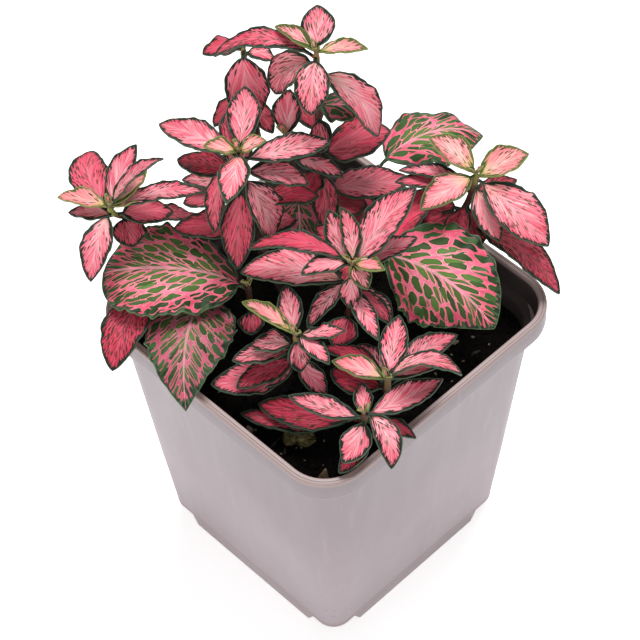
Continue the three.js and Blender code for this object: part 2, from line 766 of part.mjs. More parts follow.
const plant = new THREE.Group();
plant.add(meshFrom(makePot(), 'pot', plastic));
plant.add(meshFrom(makeStub(0), 'wood_stub', wood));
plant.add(meshFrom(makeChip(0), 'bark_chip', bark));
let soil = makeSoil().subtract(makeStub(fitGap)).subtract(makeChip(fitGap));
stems.forEach((stem, stemIndex) => {
  soil = soil.subtract(stemHole(stem.root));
  let solid = makeStem(stem);
  stem.leaves.forEach((row) => {
    const base = stemPoint(stem, stem.tip[2] - row[0]);
    solid = solid.add(makeBlade(settle(row, base, stemIndex)));
  });
  plant.add(meshFrom(solid, stem.name, pink));
});
plant.add(meshFrom(soil, 'soil', darkSoil));

// The origin is on the ground, under the middle of the whole plant's width and depth
const middle = new THREE.Box3().setFromObject(plant).getCenter(new THREE.Vector3());
plant.position.set(-middle.x, -middle.y, 0);

export default plant;
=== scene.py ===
import math
import bpy
import numpy as np
from mathutils import Matrix, Vector, noise


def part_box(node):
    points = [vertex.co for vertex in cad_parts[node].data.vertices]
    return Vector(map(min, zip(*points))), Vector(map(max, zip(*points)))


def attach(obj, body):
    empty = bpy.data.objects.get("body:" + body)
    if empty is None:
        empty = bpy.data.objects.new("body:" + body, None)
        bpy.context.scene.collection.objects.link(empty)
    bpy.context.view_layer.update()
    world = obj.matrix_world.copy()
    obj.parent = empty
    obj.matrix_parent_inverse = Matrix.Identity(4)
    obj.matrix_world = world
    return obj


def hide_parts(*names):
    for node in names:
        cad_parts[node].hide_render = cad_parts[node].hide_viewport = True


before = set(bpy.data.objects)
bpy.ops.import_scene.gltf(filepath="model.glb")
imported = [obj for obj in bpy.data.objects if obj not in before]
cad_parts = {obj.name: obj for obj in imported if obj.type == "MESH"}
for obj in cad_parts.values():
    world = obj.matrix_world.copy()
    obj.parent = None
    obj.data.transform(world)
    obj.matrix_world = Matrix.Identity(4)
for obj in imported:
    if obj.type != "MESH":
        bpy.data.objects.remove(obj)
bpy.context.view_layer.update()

potLow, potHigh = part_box("pot")
potCentre = np.array([(potLow.x + potHigh.x) / 2, (potLow.y + potHigh.y) / 2, 0.0])
mm = 0.001  # shapes are worked out in millimetres round the pot's middle


# Small helpers for objects

def clearSelection():
    if bpy.context.object and bpy.context.object.mode != "OBJECT":
        bpy.ops.object.mode_set(mode="OBJECT")
    bpy.ops.object.select_all(action="DESELECT")


def useOnly(thing):
    clearSelection()
    thing.select_set(True)
    bpy.context.view_layer.objects.active = thing


def added(operator, **settings):  # the object that one of the bpy operators adds
    clearSelection()
    operator(**settings)
    return bpy.context.object


def readPlaces(thing):
    places = np.empty(len(thing.data.vertices) * 3)
    thing.data.vertices.foreach_get("co", places)
    return places.reshape(-1, 3)


def writePlaces(thing, places):
    thing.data.vertices.foreach_set("co", np.ascontiguousarray(places, dtype=np.float64).ravel())
    thing.data.update()


def settle(thing, places):  # from millimetres round the pot's middle to metres in the frame
    writePlaces(thing, places * mm + potCentre)


def turned(x, y, z, degrees):  # turned about the upright axis
    turn = math.radians(degrees)
    cosine, sine = math.cos(turn), math.sin(turn)
    return np.stack([x * cosine - y * sine, x * sine + y * cosine, z], 1)


def writeTrait(thing, name, *values):  # three numbers for each point, for the materials to read
    trait = thing.data.attributes.get(name) or thing.data.attributes.new(name, "FLOAT_VECTOR", "POINT")
    columns = [np.broadcast_to(value, len(thing.data.vertices)) for value in values]
    trait.data.foreach_set("vector", np.stack(columns, 1).astype(np.float64).ravel())


def applyModifier(thing, kind, **settings):
    useOnly(thing)
    modifier = thing.modifiers.new(kind.title(), kind)
    for key, value in settings.items():
        setattr(modifier, key, value)
    bpy.ops.object.modifier_apply(modifier=modifier.name)


def smoothShade(thing, degrees):
    useOnly(thing)
    bpy.ops.object.shade_smooth_by_angle(angle=math.radians(degrees))


def joinAll(things, name):
    clearSelection()
    for thing in things:
        thing.select_set(True)
    bpy.context.view_layer.objects.active = things[0]
    if len(things) > 1:
        bpy.ops.object.join()
    things[0].name = name
    things[0].data.name = name
    return things[0]


def makeColumn(sides, rows):  # a closed column with its rings one apart, for a piece to be shaped from
    column = added(bpy.ops.mesh.primitive_circle_add, vertices=sides, radius=1, fill_type="NGON")
    bpy.ops.object.mode_set(mode="EDIT")
    for _ in range(rows):
        bpy.ops.mesh.extrude_region_move(TRANSFORM_OT_translate={"value": (0, 0, 1)})
    bpy.ops.object.mode_set(mode="OBJECT")
    return column


def copyOf(master, name):  # a copy with its own mesh
    copy = bpy.data.objects.new(name, master.data.copy())
    bpy.context.scene.collection.objects.link(copy)
    return copy


def paint(thing, *materials):
    thing.data.materials.clear()
    for material in materials:
        thing.data.materials.append(material)


def finishPiece(things, name, degrees, *materials):  # one piece of several things, shaded smooth
    piece = joinAll(things, name)
    if materials:
        paint(piece, *materials)
    smoothShade(piece, degrees)
    return piece


def dress(piece, node):
    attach(piece, "root")
    if node:
        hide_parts(node)


# Small helpers for materials: a number or a colour may stand wherever a socket does

def shade(text):  # a screen colour such as "f58296" as the linear colour that nodes take
    parts = [int(text[i:i + 2], 16) / 255 for i in (0, 2, 4)]
    return tuple(c / 12.92 if c <= 0.04045 else ((c + 0.055) / 1.055) ** 2.4 for c in parts) + (1.0,)


def put(socket, value):
    if isinstance(value, bpy.types.NodeSocket):
        socket.id_data.links.new(value, socket)
    else:
        socket.default_value = value


def addNode(tree, kind, **settings):
    made = tree.nodes.new(kind)
    made.location = (200 * (len(tree.nodes) % 9), -180 * (len(tree.nodes) // 9))
    for key, value in settings.items():
        setattr(made, key, value)
    return made


def addBeside(kind, inputs, **settings):  # a node in the tree that its inputs come from
    source = next(value for value in inputs.values() if isinstance(value, bpy.types.NodeSocket))
    made = addNode(source.id_data, kind, **settings)
    for key, value in inputs.items():
        put(made.inputs[key], value)
    return made


def maths(operation, *values):
    return addBeside("ShaderNodeMath", dict(enumerate(values)), operation=operation).outputs[0]


def times(first, second):
    return maths("MULTIPLY", first, second)


def timesPlus(value, factor, more):
    return maths("MULTIPLY_ADD", value, factor, more)


def rest(value):  # what is left of one
    return maths("SUBTRACT", 1.0, value)


def smoothStep(value, low, high):
    inputs = {"Value": value, "From Min": low, "From Max": high}
    return addBeside("ShaderNodeMapRange", inputs, interpolation_type="SMOOTHSTEP").outputs["Result"]


def blend(factor, first, second):  # inputs 6 and 7 are the colours A and B
    return addBeside("ShaderNodeMix", {"Factor": factor, 6: first, 7: second}, data_type="RGBA").outputs[2]


def layOver(colour, top, mask, strength=None):  # a second colour laid over the first where the mask is
    factor = mask if strength is None else times(mask, strength)
    return blend(factor, colour, shade(top) if isinstance(top, str) else top)


def vector(*values):
    return addBeside("ShaderNodeCombineXYZ", dict(enumerate(values))).outputs[0]


def noiseAt(place, scale, detail=2.0, roughness=0.5):
    inputs = {"Vector": place, "Scale": scale, "Detail": detail, "Roughness": roughness}
    return addBeside("ShaderNodeTexNoise", inputs).outputs["Fac"]


def cellsAt(place, scale=1.0, **settings):
    return addBeside("ShaderNodeTexVoronoi", {"Vector": place, "Scale": scale}, **settings)


def stretched(place, scale):
    return addBeside("ShaderNodeMapping", {"Vector": place, "Scale": scale}).outputs[0]


def splitUp(value, kind="ShaderNodeSeparateXYZ"):
    return addBeside(kind, {0: value}).outputs


def objectPlace(tree):
    return addNode(tree, "ShaderNodeTexCoord").outputs["Object"]


def readTrait(tree, name):
    return splitUp(addNode(tree, "ShaderNodeAttribute", attribute_name=name).outputs["Vector"])


def newGroup(name, inputs, outputs):
    tree = bpy.data.node_groups.new(name, "ShaderNodeTree")
    for label, value in inputs.items():
        socket = tree.interface.new_socket(label, in_out="INPUT", socket_type="NodeSocketFloat")
        socket.default_value = value
    for label in outputs:
        tree.interface.new_socket(label, in_out="OUTPUT", socket_type="NodeSocketFloat")
    start = tree.nodes.new("NodeGroupInput")
    end = tree.nodes.new("NodeGroupOutput")
    return tree, start.outputs, end.inputs


def useGroup(group, **values):
    return addBeside("ShaderNodeGroup", values, node_tree=group).outputs


def newMaterial(name, roughness, specular):
    material = bpy.data.materials.new(name)
    material.use_nodes = True
    shader = material.node_tree.nodes["Principled BSDF"]
    put(shader.inputs["Roughness"], roughness)
    put(shader.inputs["Specular IOR Level"], specular)
    return material, material.node_tree, shader


def finishShader(shader, colour, roughness, height, strength, distance):
    put(shader.inputs["Base Color"], colour)
    put(shader.inputs["Roughness"], roughness)
    bump = addBeside("ShaderNodeBump", {"Height": height, "Strength": strength, "Distance": distance})
    put(shader.inputs["Normal"], bump.outputs["Normal"])


# Camera, lights and floor

view = {
    "lens": 132.0, "sensor": 36.0, "nearest": 0.01,
    "target": (-4.59, 1.91, 79.54), "distance": 631.95,
    "azimuth": 47.279, "elevation": 50.896, "roll": -2.656,
}


def makeCamera():
    azimuth, elevation, roll = (math.radians(view[key]) for key in ("azimuth", "elevation", "roll"))
    facing = Matrix.Rotation(azimuth, 3, "Z") @ Matrix.Rotation(math.pi / 2 - elevation, 3, "X")
    place = Vector(view["target"]) + facing @ Vector((0, 0, view["distance"]))
    facing = facing @ Matrix.Rotation(roll, 3, "Z")
    camera = added(bpy.ops.object.camera_add)
    camera.name = "camera"
    camera.data.lens = view["lens"]
    camera.data.sensor_width = view["sensor"]
    camera.data.clip_start = view["nearest"]
    camera.matrix_world = Matrix.Translation(place * mm + Vector(potCentre)) @ facing.to_4x4()
    bpy.context.scene.camera = camera


studio = {
    "sky": "ffffff", "skyStrength": 0.38, "floor": "f7f6f5", "floorGlow": 0.5, "floorSize": 4.0,
    "lamps": [  # name, size, watts, place, aimed at
        ("lamp_above", 0.5, 8.5, (-0.15, 0.25, 0.95), (0, 0, 0.10)),
        ("lamp_front", 0.7, 4.0, (0.5, -0.8, 0.45), (0, 0, 0.06)),
    ],
}


def makeStudio():
    world = bpy.data.worlds.new("studio")
    world.use_nodes = True
    background = world.node_tree.nodes["Background"]
    put(background.inputs["Color"], shade(studio["sky"]))
    put(background.inputs["Strength"], studio["skyStrength"])
    bpy.context.scene.world = world
    bpy.context.scene.view_settings.view_transform = "Standard"
    for name, size, watts, place, aim in studio["lamps"]:
        rotation = (Vector(aim) - Vector(place)).to_track_quat("-Z", "Y").to_euler()
        lamp = added(bpy.ops.object.light_add, type="AREA", location=place, rotation=rotation)
        lamp.name = name
        lamp.data.size = size
        lamp.data.energy = watts
    floor = added(bpy.ops.mesh.primitive_plane_add, size=studio["floorSize"])
    floor.name = "floor"
    material, tree, shader = newMaterial("floorPaper", 0.9, 0.2)
    colour = layOver(shade(studio["floor"]), "ffffff", noiseAt(objectPlace(tree), 3.0))
    put(shader.inputs["Base Color"], colour)
    put(shader.inputs["Emission Color"], (1, 1, 1, 1))
    put(shader.inputs["Emission Strength"], studio["floorGlow"])
    paint(floor, material)


makeCamera()
makeStudio()
print("camera, lights and floor ready")


# Pot

pot = {
    "cornerSteps": 12,
    # half width, corner radius and height of each ring, from the underside up, over the lip and down inside
    "rings": [
        (31.5, 4.5, 4.2), (33.2, 5.2, 4.2), (33.65, 5.4, 4.35), (33.9, 5.5, 4.8), (33.95, 5.6, 5.2),
        (33.9, 5.5, 5.5), (36.6, 7.8, 30.0), (39.3, 10.1, 57.0), (42.0, 12.4, 83.4), (42.15, 12.45, 84.1),
        (42.6, 12.45, 84.5), (44.0, 12.5, 84.75), (44.6, 12.6, 85.0), (44.9, 12.75, 85.5),
        (45.0, 12.8, 86.2), (45.0, 12.8, 91.2), (44.92, 12.72, 91.65), (44.7, 12.5, 91.92),
        (44.4, 12.2, 92.0), (44.15, 11.95, 91.97), (44.05, 11.85, 91.8), (43.95, 11.75, 91.97),
        (43.75, 11.55, 92.0), (43.1, 10.9, 91.95), (42.85, 10.65, 91.7), (42.7, 10.5, 91.2),
        (42.2, 10.1, 84.9), (42.0, 10.0, 84.4), (41.5, 10.2, 84.1), (40.6, 10.6, 83.5),
        (40.3, 10.8, 82.9), (39.9, 10.4, 79.0), (36.0, 7.0, 42.0), (32.5, 4.0, 7.2), (31.6, 3.4, 6.2),
    ],
    "insideFrom": 25,  # the ring from which the inside starts, painted dark as shade with some dust
    "footHeight": 4.2, "footSunk": 0.6, "footThickness": 1.6,
    "footFace": 33.4,  # from the pot's middle to a foot's outer face
    "footBase": 23.0, "footTop": 26.0, "footBevel": 0.3,
    "drainRadius": 3.2, "drainOffset": 17.0, "drainMiddle": 5.0, "drainDepth": 8.0,
    "smoothAngle": 38,
}


def roundedSquare(half, corner, z, steps):
    ring = []
    for quarter in range(4):
        middle = math.radians(45 + 90 * quarter)
        centreX = math.copysign(half - corner, math.cos(middle))
        centreY = math.copysign(half - corner, math.sin(middle))
        for step in range(steps + 1):
            angle = math.radians(90 * quarter + 90 * step / steps)
            ring.append((centreX + corner * math.cos(angle), centreY + corner * math.sin(angle), z))
    return np.array(ring)


def makePot(plastic, dusty):
    steps = pot["cornerSteps"]
    count = 4 * (steps + 1)
    shell = makeColumn(count, len(pot["rings"]) - 1)
    places = readPlaces(shell)
    turns = np.arctan2(places[:, 1], places[:, 0]) % (2 * math.pi)
    column = np.rint(turns / (2 * math.pi) * count).astype(int) % count
    level = np.rint(places[:, 2]).astype(int)
    rings = np.array([roundedSquare(*ring, steps) for ring in pot["rings"]])
    settle(shell, rings[level, column])
    paint(shell, plastic, dusty)
    for face in shell.data.polygons:
        face.material_index = int(min(level[list(face.vertices)]) >= pot["insideFrom"])
    whole = joinAll([shell] + [makeFoot(side, plastic) for side in range(4)], "pot_shell")
    drains = [(x, y) for x in (-1, 0, 1) for y in (-1, 0, 1) if abs(x) == abs(y)]
    for x, y in drains:
        drill(whole, x * pot["drainOffset"], y * pot["drainOffset"])
    smoothShade(whole, pot["smoothAngle"])
    return whole


def makeFoot(side, plastic):
    foot = added(bpy.ops.mesh.primitive_cube_add, size=1)
    places = readPlaces(foot)
    low = places[:, 2] < 0
    x = np.sign(places[:, 0]) * np.where(low, pot["footBase"], pot["footTop"])
    y = pot["footThickness"] * (places[:, 1] > 0) - pot["footFace"]
    z = np.where(low, 0, pot["footHeight"] + pot["footSunk"])
    settle(foot, turned(x, y, z, 90 * side))
    applyModifier(foot, "BEVEL", width=pot["footBevel"] * mm, segments=2, limit_method="ANGLE")
    paint(foot, plastic)
    return foot


def drill(whole, x, y):
    size = {"radius": pot["drainRadius"], "depth": pot["drainDepth"]}
    cutter = added(bpy.ops.mesh.primitive_cylinder_add, vertices=24, **size)
    settle(cutter, readPlaces(cutter) + np.array([x, y, pot["drainMiddle"]]))
    applyModifier(whole, "BOOLEAN", operation="DIFFERENCE", object=cutter, solver="EXACT")
    bpy.data.objects.remove(cutter)


potLook = {"roughness": 0.42, "dust": 0.4, "colours": {
    "body": "998b91", "cloud": "a3969c", "dust": "aba1a4",
    "lip": "ab938d", "foot": "8a7977", "upper": "82777b",
}}
# inside the pot: colours painted near black as shade, with some dust; the upper and lip colours paint light
# near the top, the foot colour deeper shade low down
insideLook = {"roughness": 0.6, "dust": 0.7, "colours": {
    "body": "332b29", "cloud": "463c3a", "dust": "756864",
    "lip": "8c7b75", "foot": "2a2422", "upper": "3a3230",
}}


def plasticMaterial(name, look):
    material, tree, shader = newMaterial(name, look["roughness"], 0.5)
    colours = look["colours"]
    place = objectPlace(tree)
    up = splitUp(place)[2]  # height in metres
    cloud = noiseAt(place, 28.0, 3.0)
    fine = noiseAt(place, 900.0, 2.0)
    streak = noiseAt(stretched(place, (160, 160, 14)), 1.0, 3.0, 0.6)  # long smears down the wall
    line = noiseAt(stretched(place, (6, 6, 900)), 1.0, 1.0)  # thin level lines
    atLip = times(smoothStep(up, 0.0903, 0.0914), timesPlus(line, 0.5, 0.35))
    atFoot = smoothStep(up, 0.007, 0.0062)
    glint = times(smoothStep(up, 0.0062, 0.0068), smoothStep(up, 0.0076, 0.007))  # a painted highlight along the step over the feet
    grime = smoothStep(cellsAt(place, 240.0, feature="F1").outputs["Distance"], 0.16, 0.08)
    grime = times(grime, smoothStep(cloud, 0.5, 0.62))
    body = layOver(shade(colours["body"]), colours["cloud"], smoothStep(cloud, 0.3, 0.7))
    # painted shade and light by height: the outside is painted darker towards the lip, the inside lighter
    body = layOver(body, colours["upper"], smoothStep(up, 0.012, 0.09), 0.85)
    body = layOver(body, colours["dust"], smoothStep(streak, 0.55, 0.8), look["dust"])
    body = layOver(body, colours["lip"], atLip)
    # painted shade: a darker band over the feet
    body = layOver(body, colours["foot"], atFoot, 0.4)
    body = layOver(body, colours["lip"], glint, 0.5)
    body = layOver(body, colours["foot"], grime, 0.35)
    height = maths("ADD", times(cloud, 0.6), times(fine, 0.12))
    finishShader(shader, body, timesPlus(streak, 0.22, look["roughness"] - 0.1), height, 0.25, 0.0004)
    return material


potShell = makePot(plasticMaterial("potPlastic", potLook), plasticMaterial("dustyPlastic", insideLook))
dress(potShell, "pot")
print("pot ready")


# Soil, with crumbs, pale specks, the wood stub and the bark chip

soil = {
    "level": 80.0, "half": 39.5, "corner": 9.9, "floor": 6.5, "floorShare": 0.81, "cells": 150,
    "swell": 0.63, "grain": 0.36,  # how high the long and the short waves of its top are
    "clods": 0.7, "grains": 0.75, "grit": 0.3,
    "flatEdge": 0.25,  # how much of the roughness is left at the wall
    "crumbs": 900, "crumbSize": (0.5, 1.4), "crumbHalf": 38.3, "crumbStraight": 29, "crumbCorner": 9,
    "seed": 11,
}


def soilHeight(x, y):
    swell = np.sin(x / 7 + 1) * np.cos(y / 6)
    grain = np.sin(x / 2.7 + y / 3.4)
    return soil["level"] + soil["swell"] * swell + soil["grain"] * grain


def roughHeight(x, y):
    spot = Vector((x, y, 0))
    clods = noise.fractal(spot * 0.32, 1.0, 2.0, 3)
    grains = 0.5 - noise.voronoi(spot * 0.75)[0][0]
    return soil["clods"] * clods + soil["grains"] * grains + soil["grit"] * noise.noise(spot * 2.2)


def onSoil(x, y, lift):
    return x, y, float(soilHeight(x, y)) + roughHeight(x, y) + lift


def makeSoil(earth):
    cells = soil["cells"]
    bed = added(bpy.ops.mesh.primitive_grid_add, x_subdivisions=cells, y_subdivisions=cells, size=2)
    flat = readPlaces(bed)
    reach = np.maximum(np.abs(flat[:, 0]), np.abs(flat[:, 1]))
    turns = np.arctan2(flat[:, 1], flat[:, 0])
    across, down = np.abs(np.cos(turns)), np.abs(np.sin(turns))
    wide = soil["half"] / np.maximum(across, down)
    inner = soil["half"] - soil["corner"]
    middle = inner * (across + down)  # where a corner's arc crosses this direction
    arc = middle + np.sqrt(np.maximum(0, middle ** 2 - 2 * inner ** 2 + soil["corner"] ** 2))
    limit = reach * np.where(np.minimum(across, down) * wide > inner, arc, wide)
    x, y = limit * np.cos(turns), limit * np.sin(turns)
    rough = np.array([roughHeight(*spot) for spot in zip(x, y)])
    loose = soil["flatEdge"] + (1 - soil["flatEdge"]) * np.clip((1 - reach) * 12, 0, 1)
    settle(bed, np.stack([x, y, soilHeight(x, y) + rough * loose], 1))
    useOnly(bed)
    bpy.ops.object.mode_set(mode="EDIT")
    bpy.ops.mesh.select_all(action="SELECT")
    bpy.ops.mesh.region_to_loop()
    bpy.ops.mesh.extrude_region_move(TRANSFORM_OT_translate={"value": (0, 0, 0)})
    share = soil["floorShare"]
    bpy.ops.transform.resize(
        value=(share, share, 0.0), center_override=(potCentre[0], potCentre[1], soil["floor"] * mm))
    bpy.ops.mesh.edge_face_add()
    bpy.ops.mesh.select_all(action="SELECT")
    bpy.ops.mesh.normals_make_consistent(inside=False)
    bpy.ops.object.mode_set(mode="OBJECT")
    paint(bed, earth)
    return bed


def makeLump(radii, seed, roughness, detail=1):  # a rough lump, modelled once for each use and squashed
    lump = added(bpy.ops.mesh.primitive_ico_sphere_add, subdivisions=detail, radius=1)
    places = readPlaces(lump)
    swell = [1 + roughness * noise.noise(Vector(p) * 1.7 + Vector((seed, 0, 0))) for p in places]
    writePlaces(lump, places * np.array(swell)[:, None] * np.array(radii))
    return lump


def scatter(master, spots, name, material):  # copies of one lump, each with its own mesh, joined
    copies = []
    for place, size, turn in spots:
        copy = copyOf(master, name)
        rotation = np.array(Matrix.Rotation(turn, 3, "Z") @ Matrix.Rotation(turn * 1.7, 3, "X"))
        settle(copy, (readPlaces(copy) * size) @ rotation.T + np.array(place))
        copies.append(copy)
    bpy.data.objects.remove(master)
    whole = joinAll(copies, name)
    paint(whole, material)
    return whole


def crumbSpots():
    draw = np.random.default_rng(soil["seed"])
    spots = []
    while len(spots) < soil["crumbs"]:
        x, y = draw.uniform(-soil["crumbHalf"], soil["crumbHalf"], 2)
        pastStraight = [max(abs(value) - soil["crumbStraight"], 0) for value in (x, y)]
        if math.hypot(*pastStraight) > soil["crumbCorner"]:
            continue
        size = draw.uniform(*soil["crumbSize"]) * draw.uniform(0.6, 1)
        spots.append((onSoil(x, y, 0.15 * size), size, draw.uniform(0, 6.3)))
    return spots


specks = {
    "grains": [  # pale grains: place across the soil and size
        (28.2, 14.2, 0.9), (27.6, 20.6, 1.0), (31.0, 9.5, 0.5), (33.0, 18.0, 0.45), (25.5, 12.0, 0.35),
        (29.8, 17.0, 0.4), (21.3, -32.3, 0.3), (22.1, -31.4, 0.35), (25.4, -33.4, 0.28), (25.3, -26.2, 0.4),
        (20.0, -36.6, 0.35), (30.2, -31.5, 0.2), (8.8, -37.0, 1.1), (10.0, -36.2, 0.5), (35.0, 2.0, 0.4),
        (29.5, 25.5, 0.5), (34.5, 26.5, 0.4), (22.0, 30.0, 0.4), (-6.0, -34.0, 0.4), (30.5, -3.0, 0.35),
        (6.0, -30.0, 0.3), (24.0, 8.0, 0.3), (32.0, 13.0, 0.3), (35.5, 11.0, 0.35),
    ],
    "twigs": [  # middle of each, length, turn
        (16.6, -35.2, 4.0, 96), (26.5, 17.5, 3.0, 20), (31.5, 5.0, 2.6, 140), (12.0, -33.5, 2.4, 40),
        (33.8, 22.0, 2.8, 75), (-14.0, -35.5, 3.0, 10), (19.8, -35.0, 1.8, 130),
    ],
    "twigWidth": 0.42, "twigHeight": 0.36, "twigLift": 0.25,
}


def speckSpots():
    grains = enumerate(specks["grains"])
    return [(onSoil(x, y, 0.35 * size), size, 1.3 * index) for index, (x, y, size) in grains]


def makeTwigs(bark):  # short grey bits of twig, half sunk in the soil
    twigs = []
    for index, (x, y, length, turn) in enumerate(specks["twigs"]):
        twig = makeLump((length / 2, specks["twigWidth"], specks["twigHeight"]), 20 + index, 0.5, 3)
        settle(twig, turned(*readPlaces(twig).T, turn) + np.array(onSoil(x, y, specks["twigLift"])))
        twigs.append(twig)
    return finishPiece(twigs, "soil_twigs", 50, bark)


def groundMaterial(name, colours, scale, roughness, bump):  # colours: dark, light, and the finest specks
    material, tree, shader = newMaterial(name, roughness, 0.15)
    place = objectPlace(tree)
    broad = noiseAt(place, scale, 4.0, 0.6)
    fine = noiseAt(place, scale * 7, 3.0, 0.6)
    body = layOver(shade(colours[0]), colours[1], smoothStep(broad, 0.35, 0.65))
    body = layOver(body, colours[2], smoothStep(fine, 0.58, 0.75))
    height = maths("ADD", broad, times(fine, 0.5))
    finishShader(shader, body, timesPlus(fine, 0.2, roughness - 0.1), height, bump, 0.0006)
    return material


darkEarth = groundMaterial("darkEarth", ("040303", "0e0a08", "40301f"), 700.0, 0.9, 0.9)
paleGrain = groundMaterial("paleGrain", ("75695a", "9a8d7c", "bdb2a4"), 900.0, 0.7, 0.5)
twigBark = groundMaterial("twigBark", ("2a2523", "4b4544", "6f6867"), 500.0, 0.75, 0.6)
soilTop = makeSoil(darkEarth)
crumbs = scatter(makeLump((1, 0.8, 0.6), 3, 0.6), crumbSpots(), "crumbs", darkEarth)
dress(finishPiece([soilTop, crumbs], "soil_bed", 60), "soil")
paleSpecks = scatter(makeLump((1, 0.8, 0.7), 5, 0.5, 2), speckSpots(), "pale_specks", paleGrain)
smoothShade(paleSpecks, 50)
dress(paleSpecks, None)
dress(makeTwigs(twigBark), None)

stub = {
    "length": 8.0, "radius": 2.4, "turn": 40.0, "place": (17.0, -33.0, 81.2), "knobble": 0.22,
    "rough": 0.5, "fray": 0.55, "frayedFrom": 0.55, "frayLength": 2.2, "sides": 36, "rows": 30,
}
chip = {
    "width": 3.2, "depth": 1.5, "height": 5.0, "turn": 30.0, "place": (33.0, -34.2, 79.0),
    "rough": 0.35, "ragged": 0.12, "lean": 0.8, "sides": 7, "cuts": 5,
}


def makeStub(wood):  # a knobbly stub of old stem, rounded at one end and frayed at the other
    thing = makeColumn(stub["sides"], stub["rows"])
    flat = readPlaces(thing)
    along = flat[:, 2] / stub["rows"]
    angle = np.arctan2(flat[:, 1], flat[:, 0])
    swell = 0.75 + 0.25 * np.sin(math.pi * (0.2 + 0.75 * along))
    knobble = 1 + stub["knobble"] * np.sin(3 * angle + 4 * along)
    spots = [Vector((3 * a, 1.3 * math.cos(t), 1.3 * math.sin(t))) for a, t in zip(along, angle)]
    rough = np.array([noise.fractal(spot, 1, 2, 4) for spot in spots])
    splits = np.array([noise.noise(Vector((0.6 * spot.x, 4 * spot.y, 4 * spot.z))) for spot in spots])
    ends = np.sqrt(np.clip(1 - np.abs(2 * along - 1) ** 5, 0.03, 1))
    frayed = np.clip(along - stub["frayedFrom"], 0, 1) * 2
    radius = stub["radius"] * swell * knobble * ends
    radius *= 1 + stub["rough"] * rough + stub["fray"] * frayed * splits
    x = along * stub["length"] + stub["frayLength"] * frayed * splits
    places = turned(x, radius * np.sin(angle), -radius * np.cos(angle), stub["turn"])
    settle(thing, places + np.array(stub["place"]))
    return finishPiece([thing], "knobbly_stub", 50, wood)


def makeChip(bark):  # a splinter of pale bark that stands in the soil against the lip
    thing = added(bpy.ops.mesh.primitive_cone_add, vertices=chip["sides"], radius1=0.5, radius2=0.1, depth=1)
    bpy.ops.object.mode_set(mode="EDIT")
    bpy.ops.mesh.select_all(action="SELECT")
    bpy.ops.mesh.subdivide(number_cuts=chip["cuts"])
    bpy.ops.object.mode_set(mode="OBJECT")
    places = readPlaces(thing)
    along = places[:, 2] + 0.5
    rough = np.array([noise.fractal(Vector(p) * 2.6 + Vector((9, 0, 0)), 1, 2, 3) for p in places])
    spread = 1 + chip["rough"] * rough
    x = places[:, 0] * chip["width"] * spread + chip["lean"] * along
    y = places[:, 1] * chip["depth"] * spread
    z = along * chip["height"] * (1 + chip["ragged"] * rough)
    settle(thing, turned(x, y, z, chip["turn"]) + np.array(chip["place"]))
    return finishPiece([thing], "pale_bark_chip", 35, bark)


stubWood = groundMaterial("stubWood", ("57512f", "a39a6c", "d6cba4"), 420.0, 0.75, 1.0)
paleBark = groundMaterial("paleBark", ("b08e70", "dcbf9f", "f2dfc6"), 500.0, 0.75, 0.8)
dress(makeStub(stubWood), "wood_stub")
dress(makeChip(paleBark), "bark_chip")
print("soil ready")


# Leaf materials: every leaf carries its own numbers, so patterns follow its veins

veinInputs = {"Along": 0.0, "Out": 0.0, "Seed": 0.0}  # along the leaf and out along its side veins


def marginGroup():  # the green edge of a leaf, with a toothed inner side, and its thin pale rim, a painted highlight
    inputs = {"Edge": 1.0, **veinInputs, "Width": 0.7, "Jag": 0.5, "Teeth": 1.2}
    tree, start, end = newGroup("leafMargin", inputs, ["Margin", "Rim"])
    shift = times(start["Seed"], 37.0)
    run = times(start["Out"], 0.16)
    teeth = noiseAt(vector(timesPlus(start["Along"], start["Teeth"], shift), run, shift), 1.0, 1.0, 0.6)
    slow = noiseAt(vector(start["Along"], shift, run), 0.3, 1.0)
    ragged = timesPlus(maths("SUBTRACT", teeth, 0.5), times(start["Jag"], 5.5), start["Edge"])
    ragged = timesPlus(maths("SUBTRACT", slow, 0.5), start["Width"], ragged)
    width = start["Width"]
    edge = smoothStep(ragged, maths("SUBTRACT", width, 0.07), maths("ADD", width, 0.09))
    solid = smoothStep(start["Edge"], times(width, 0.4), times(width, 0.65))
    put(end["Margin"], rest(times(edge, solid)))
    put(end["Rim"], rest(smoothStep(start["Edge"], 0.06, 0.28)))
    return tree


def streakGroup():  # soft streaks that run out along the side veins
    inputs = {**veinInputs, "Across": 2.0, "Run": 0.25, "Low": 0.45, "High": 0.65}
    tree, start, end = newGroup("leafStreaks", inputs, ["Streak"])
    shift = times(start["Seed"], 23.0)
    wide = timesPlus(start["Along"], start["Across"], shift)
    streak = noiseAt(vector(wide, times(start["Out"], start["Run"]), shift), 1.0, 2.0, 0.55)
    put(end["Streak"], smoothStep(streak, start["Low"], start["High"]))
    return tree


def flatCells(place, feature, randomness):
    cells = cellsAt(place, feature=feature, voronoi_dimensions="2D")
    put(cells.inputs["Randomness"], randomness)
    return cells.outputs


def dashGroup():  # short dark dashes, some of the cells having one
    inputs = {**veinInputs, "Across": 1.0, "Run": 0.5, "Share": 0.5, "Size": 0.2}
    tree, start, end = newGroup("leafDashes", inputs, ["Dash"])
    shift = times(start["Seed"], 29.0)
    wide = timesPlus(start["Along"], start["Across"], shift)
    spot = vector(wide, timesPlus(start["Out"], start["Run"], shift), 0.0)
    cells = flatCells(spot, "F1", 0.85)
    chance, growth, _ = splitUp(cells["Color"], "ShaderNodeSeparateColor")
    size = times(start["Size"], timesPlus(growth, 0.8, 0.6))
    mark = rest(smoothStep(cells["Distance"], times(size, 0.7), times(size, 1.1)))
    put(end["Dash"], times(maths("LESS_THAN", chance, start["Share"]), mark))
    return tree


